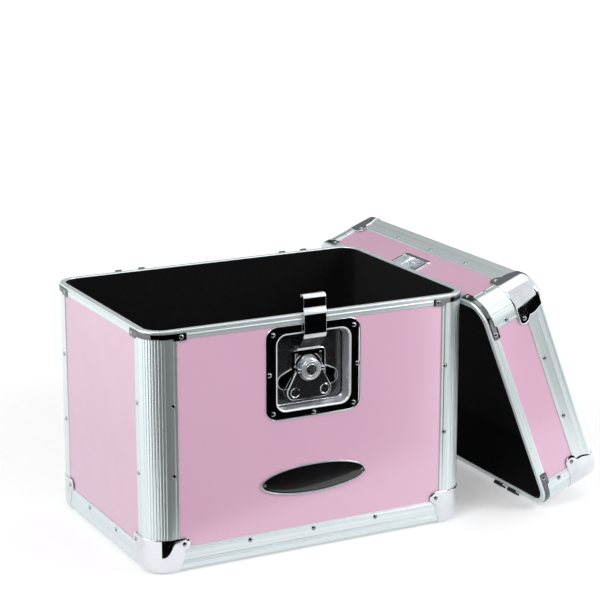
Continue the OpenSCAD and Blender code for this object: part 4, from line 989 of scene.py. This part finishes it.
badgePieces()
strikePiece()
gripPiece()
print("badge, strike and grip made")


# ---------- stage, light and camera ----------

view = {"place": (-0.93562, -1.90578, 0.78636), "azimuth": -27.379, "elevation": 14.348, "lens": 120.29,
        "sensor": 36.0}
light = {"world": 0.5, "paper": [rgb(205, 205, 206), rgb(200, 200, 201)], "near": 0.378, "far": 1.0,
         "fade": (0.5, 2.5),
         "lamps": [("keyLamp", (-1.6, -1.2, 1.7), 1.2, 31.0), ("sideLamp", (1.25, -1.15, 0.9), 0.8, 18.0),
                   ("topLamp", (0.2, 0.4, 2.3), 1.6, 10.0), ("leftLamp", (-1.5, 0.5, 0.7), 1.0, 4.0)]}
# cards that only reflections see: path in plan, foot, top and shade
cards = {"frontCard": ([(-0.2, -0.17), (-0.1, -0.225), (0.275, -0.352)], 0, 0.3, 8),
         "rightCard": ([(0.36, -0.38), (1.4, -0.72)], 0, 0.5, 8),
         "cornerCard": ([(-0.52, -0.27), (-0.26, -0.47)], 0, 0.6, 4),
         "backCard": ([(-0.7, 1.2), (1.8, 1.2)], 0.5, 1.7, 110)}


def stageSheet(name, points, faces, finish):
    mesh = bpy.data.meshes.new(name)
    mesh.from_pydata(points, [], faces)
    mesh.materials.append(finish)
    sheet = bpy.data.objects.new(name, mesh)
    bpy.context.scene.collection.objects.link(sheet)
    return sheet


def floorFinish():
    # white paper: the camera, mirrors and glass see it brighter than it is lit, and all white far off
    f = Finish("paper", Roughness=0.8, Emission_Strength=1.0)
    path = f.node("ShaderNodeLightPath")
    seen = Value(f, path.outputs["Is Camera Ray"]) + Value(f, path.outputs["Is Glossy Ray"])
    seen = seen + Value(f, path.outputs["Is Transmission Ray"])
    away = f.node("ShaderNodeVectorMath", {"operation": "LENGTH"}, {0: f.coords}).outputs["Value"]
    glow = f.ramp(away, *light["fade"], light["near"], light["far"])
    f.feed("Base Color", f.mix(f.noise(60, 3), *light["paper"]))
    f.feed("Emission Color", f.mix(seen * glow, (0, 0, 0, 1), (1, 1, 1, 1)))
    return f.material


def clothFinish(name, shade):
    f = Finish(name, Roughness=1.0, Specular_IOR_Level=0.0)
    deep, pale = rgb(shade, shade, shade), rgb(shade + 6, shade + 6, shade + 7)
    f.feed("Base Color", f.mix(f.noise(40, 2), deep, pale))
    return f.material


big = 6.0
stageSheet("floor", [(-big, -big, 0), (big, -big, 0), (big, big, 0), (-big, big, 0)], [(0, 1, 2, 3)],
           floorFinish())
for name, (path, low, top, shade) in cards.items():
    path = np.array(path) + middle[:2] * mm
    points = np.vstack([atHeight(path, low), atHeight(path, top)])
    card = stageSheet(name, points.tolist(), gridFaces(2, len(path)).tolist(), clothFinish(name, shade))
    card.visible_camera = card.visible_diffuse = card.visible_shadow = card.visible_transmission = False

world = bpy.data.worlds.new("studio")
bpy.context.scene.world = world
world.use_nodes = True
sky = world.node_tree.nodes


def skyNode(kind, settings, sources):
    # one node of the world, with its inputs linked to the given outputs
    made = sky.new(kind)
    for key, value in settings.items():
        setattr(made, key, value)
    for key, source in sources.items():
        world.node_tree.links.new(source, made.inputs[key])
    return made


ray = skyNode("ShaderNodeLightPath", {}, {}).outputs
larger = {"operation": "MAXIMUM"}
seen = skyNode("ShaderNodeMath", larger, {0: ray["Is Camera Ray"], 1: ray["Is Glossy Ray"]})
clear = skyNode("ShaderNodeMath", larger, {0: seen.outputs[0], 1: ray["Is Transmission Ray"]})
strength = skyNode("ShaderNodeMapRange", {}, {"Value": clear.outputs[0]})
strength.inputs["To Min"].default_value = light["world"]
world.node_tree.links.new(strength.outputs["Result"], sky["Background"].inputs["Strength"])
sky["Background"].inputs["Color"].default_value = (1, 1, 1, 1)

for name, place, size, power in light["lamps"]:
    lamp = bpy.data.lights.new(name, "AREA")
    lamp.size, lamp.energy = size, power
    thing = bpy.data.objects.new(name, lamp)
    aim = np.array([0.08, 0.0, 0.13]) - place
    place = np.array(place) + middle * mm
    flat = math.hypot(aim[0], aim[1])
    thing.location = place
    thing.rotation_euler = (math.atan2(flat, -aim[2]), 0, math.atan2(-aim[0], aim[1]))
    bpy.context.scene.collection.objects.link(thing)

lens = bpy.data.cameras.new("camera")
lens.lens, lens.sensor_width = view["lens"], view["sensor"]
camera = bpy.data.objects.new("camera", lens)
camera.location = np.array(view["place"]) + middle * mm
camera.rotation_euler = (math.radians(90 - view["elevation"]), 0, math.radians(view["azimuth"]))
bpy.context.scene.collection.objects.link(camera)
bpy.context.scene.camera = camera
bpy.context.scene.view_settings.view_transform = "Standard"
print("stage, light and camera set")
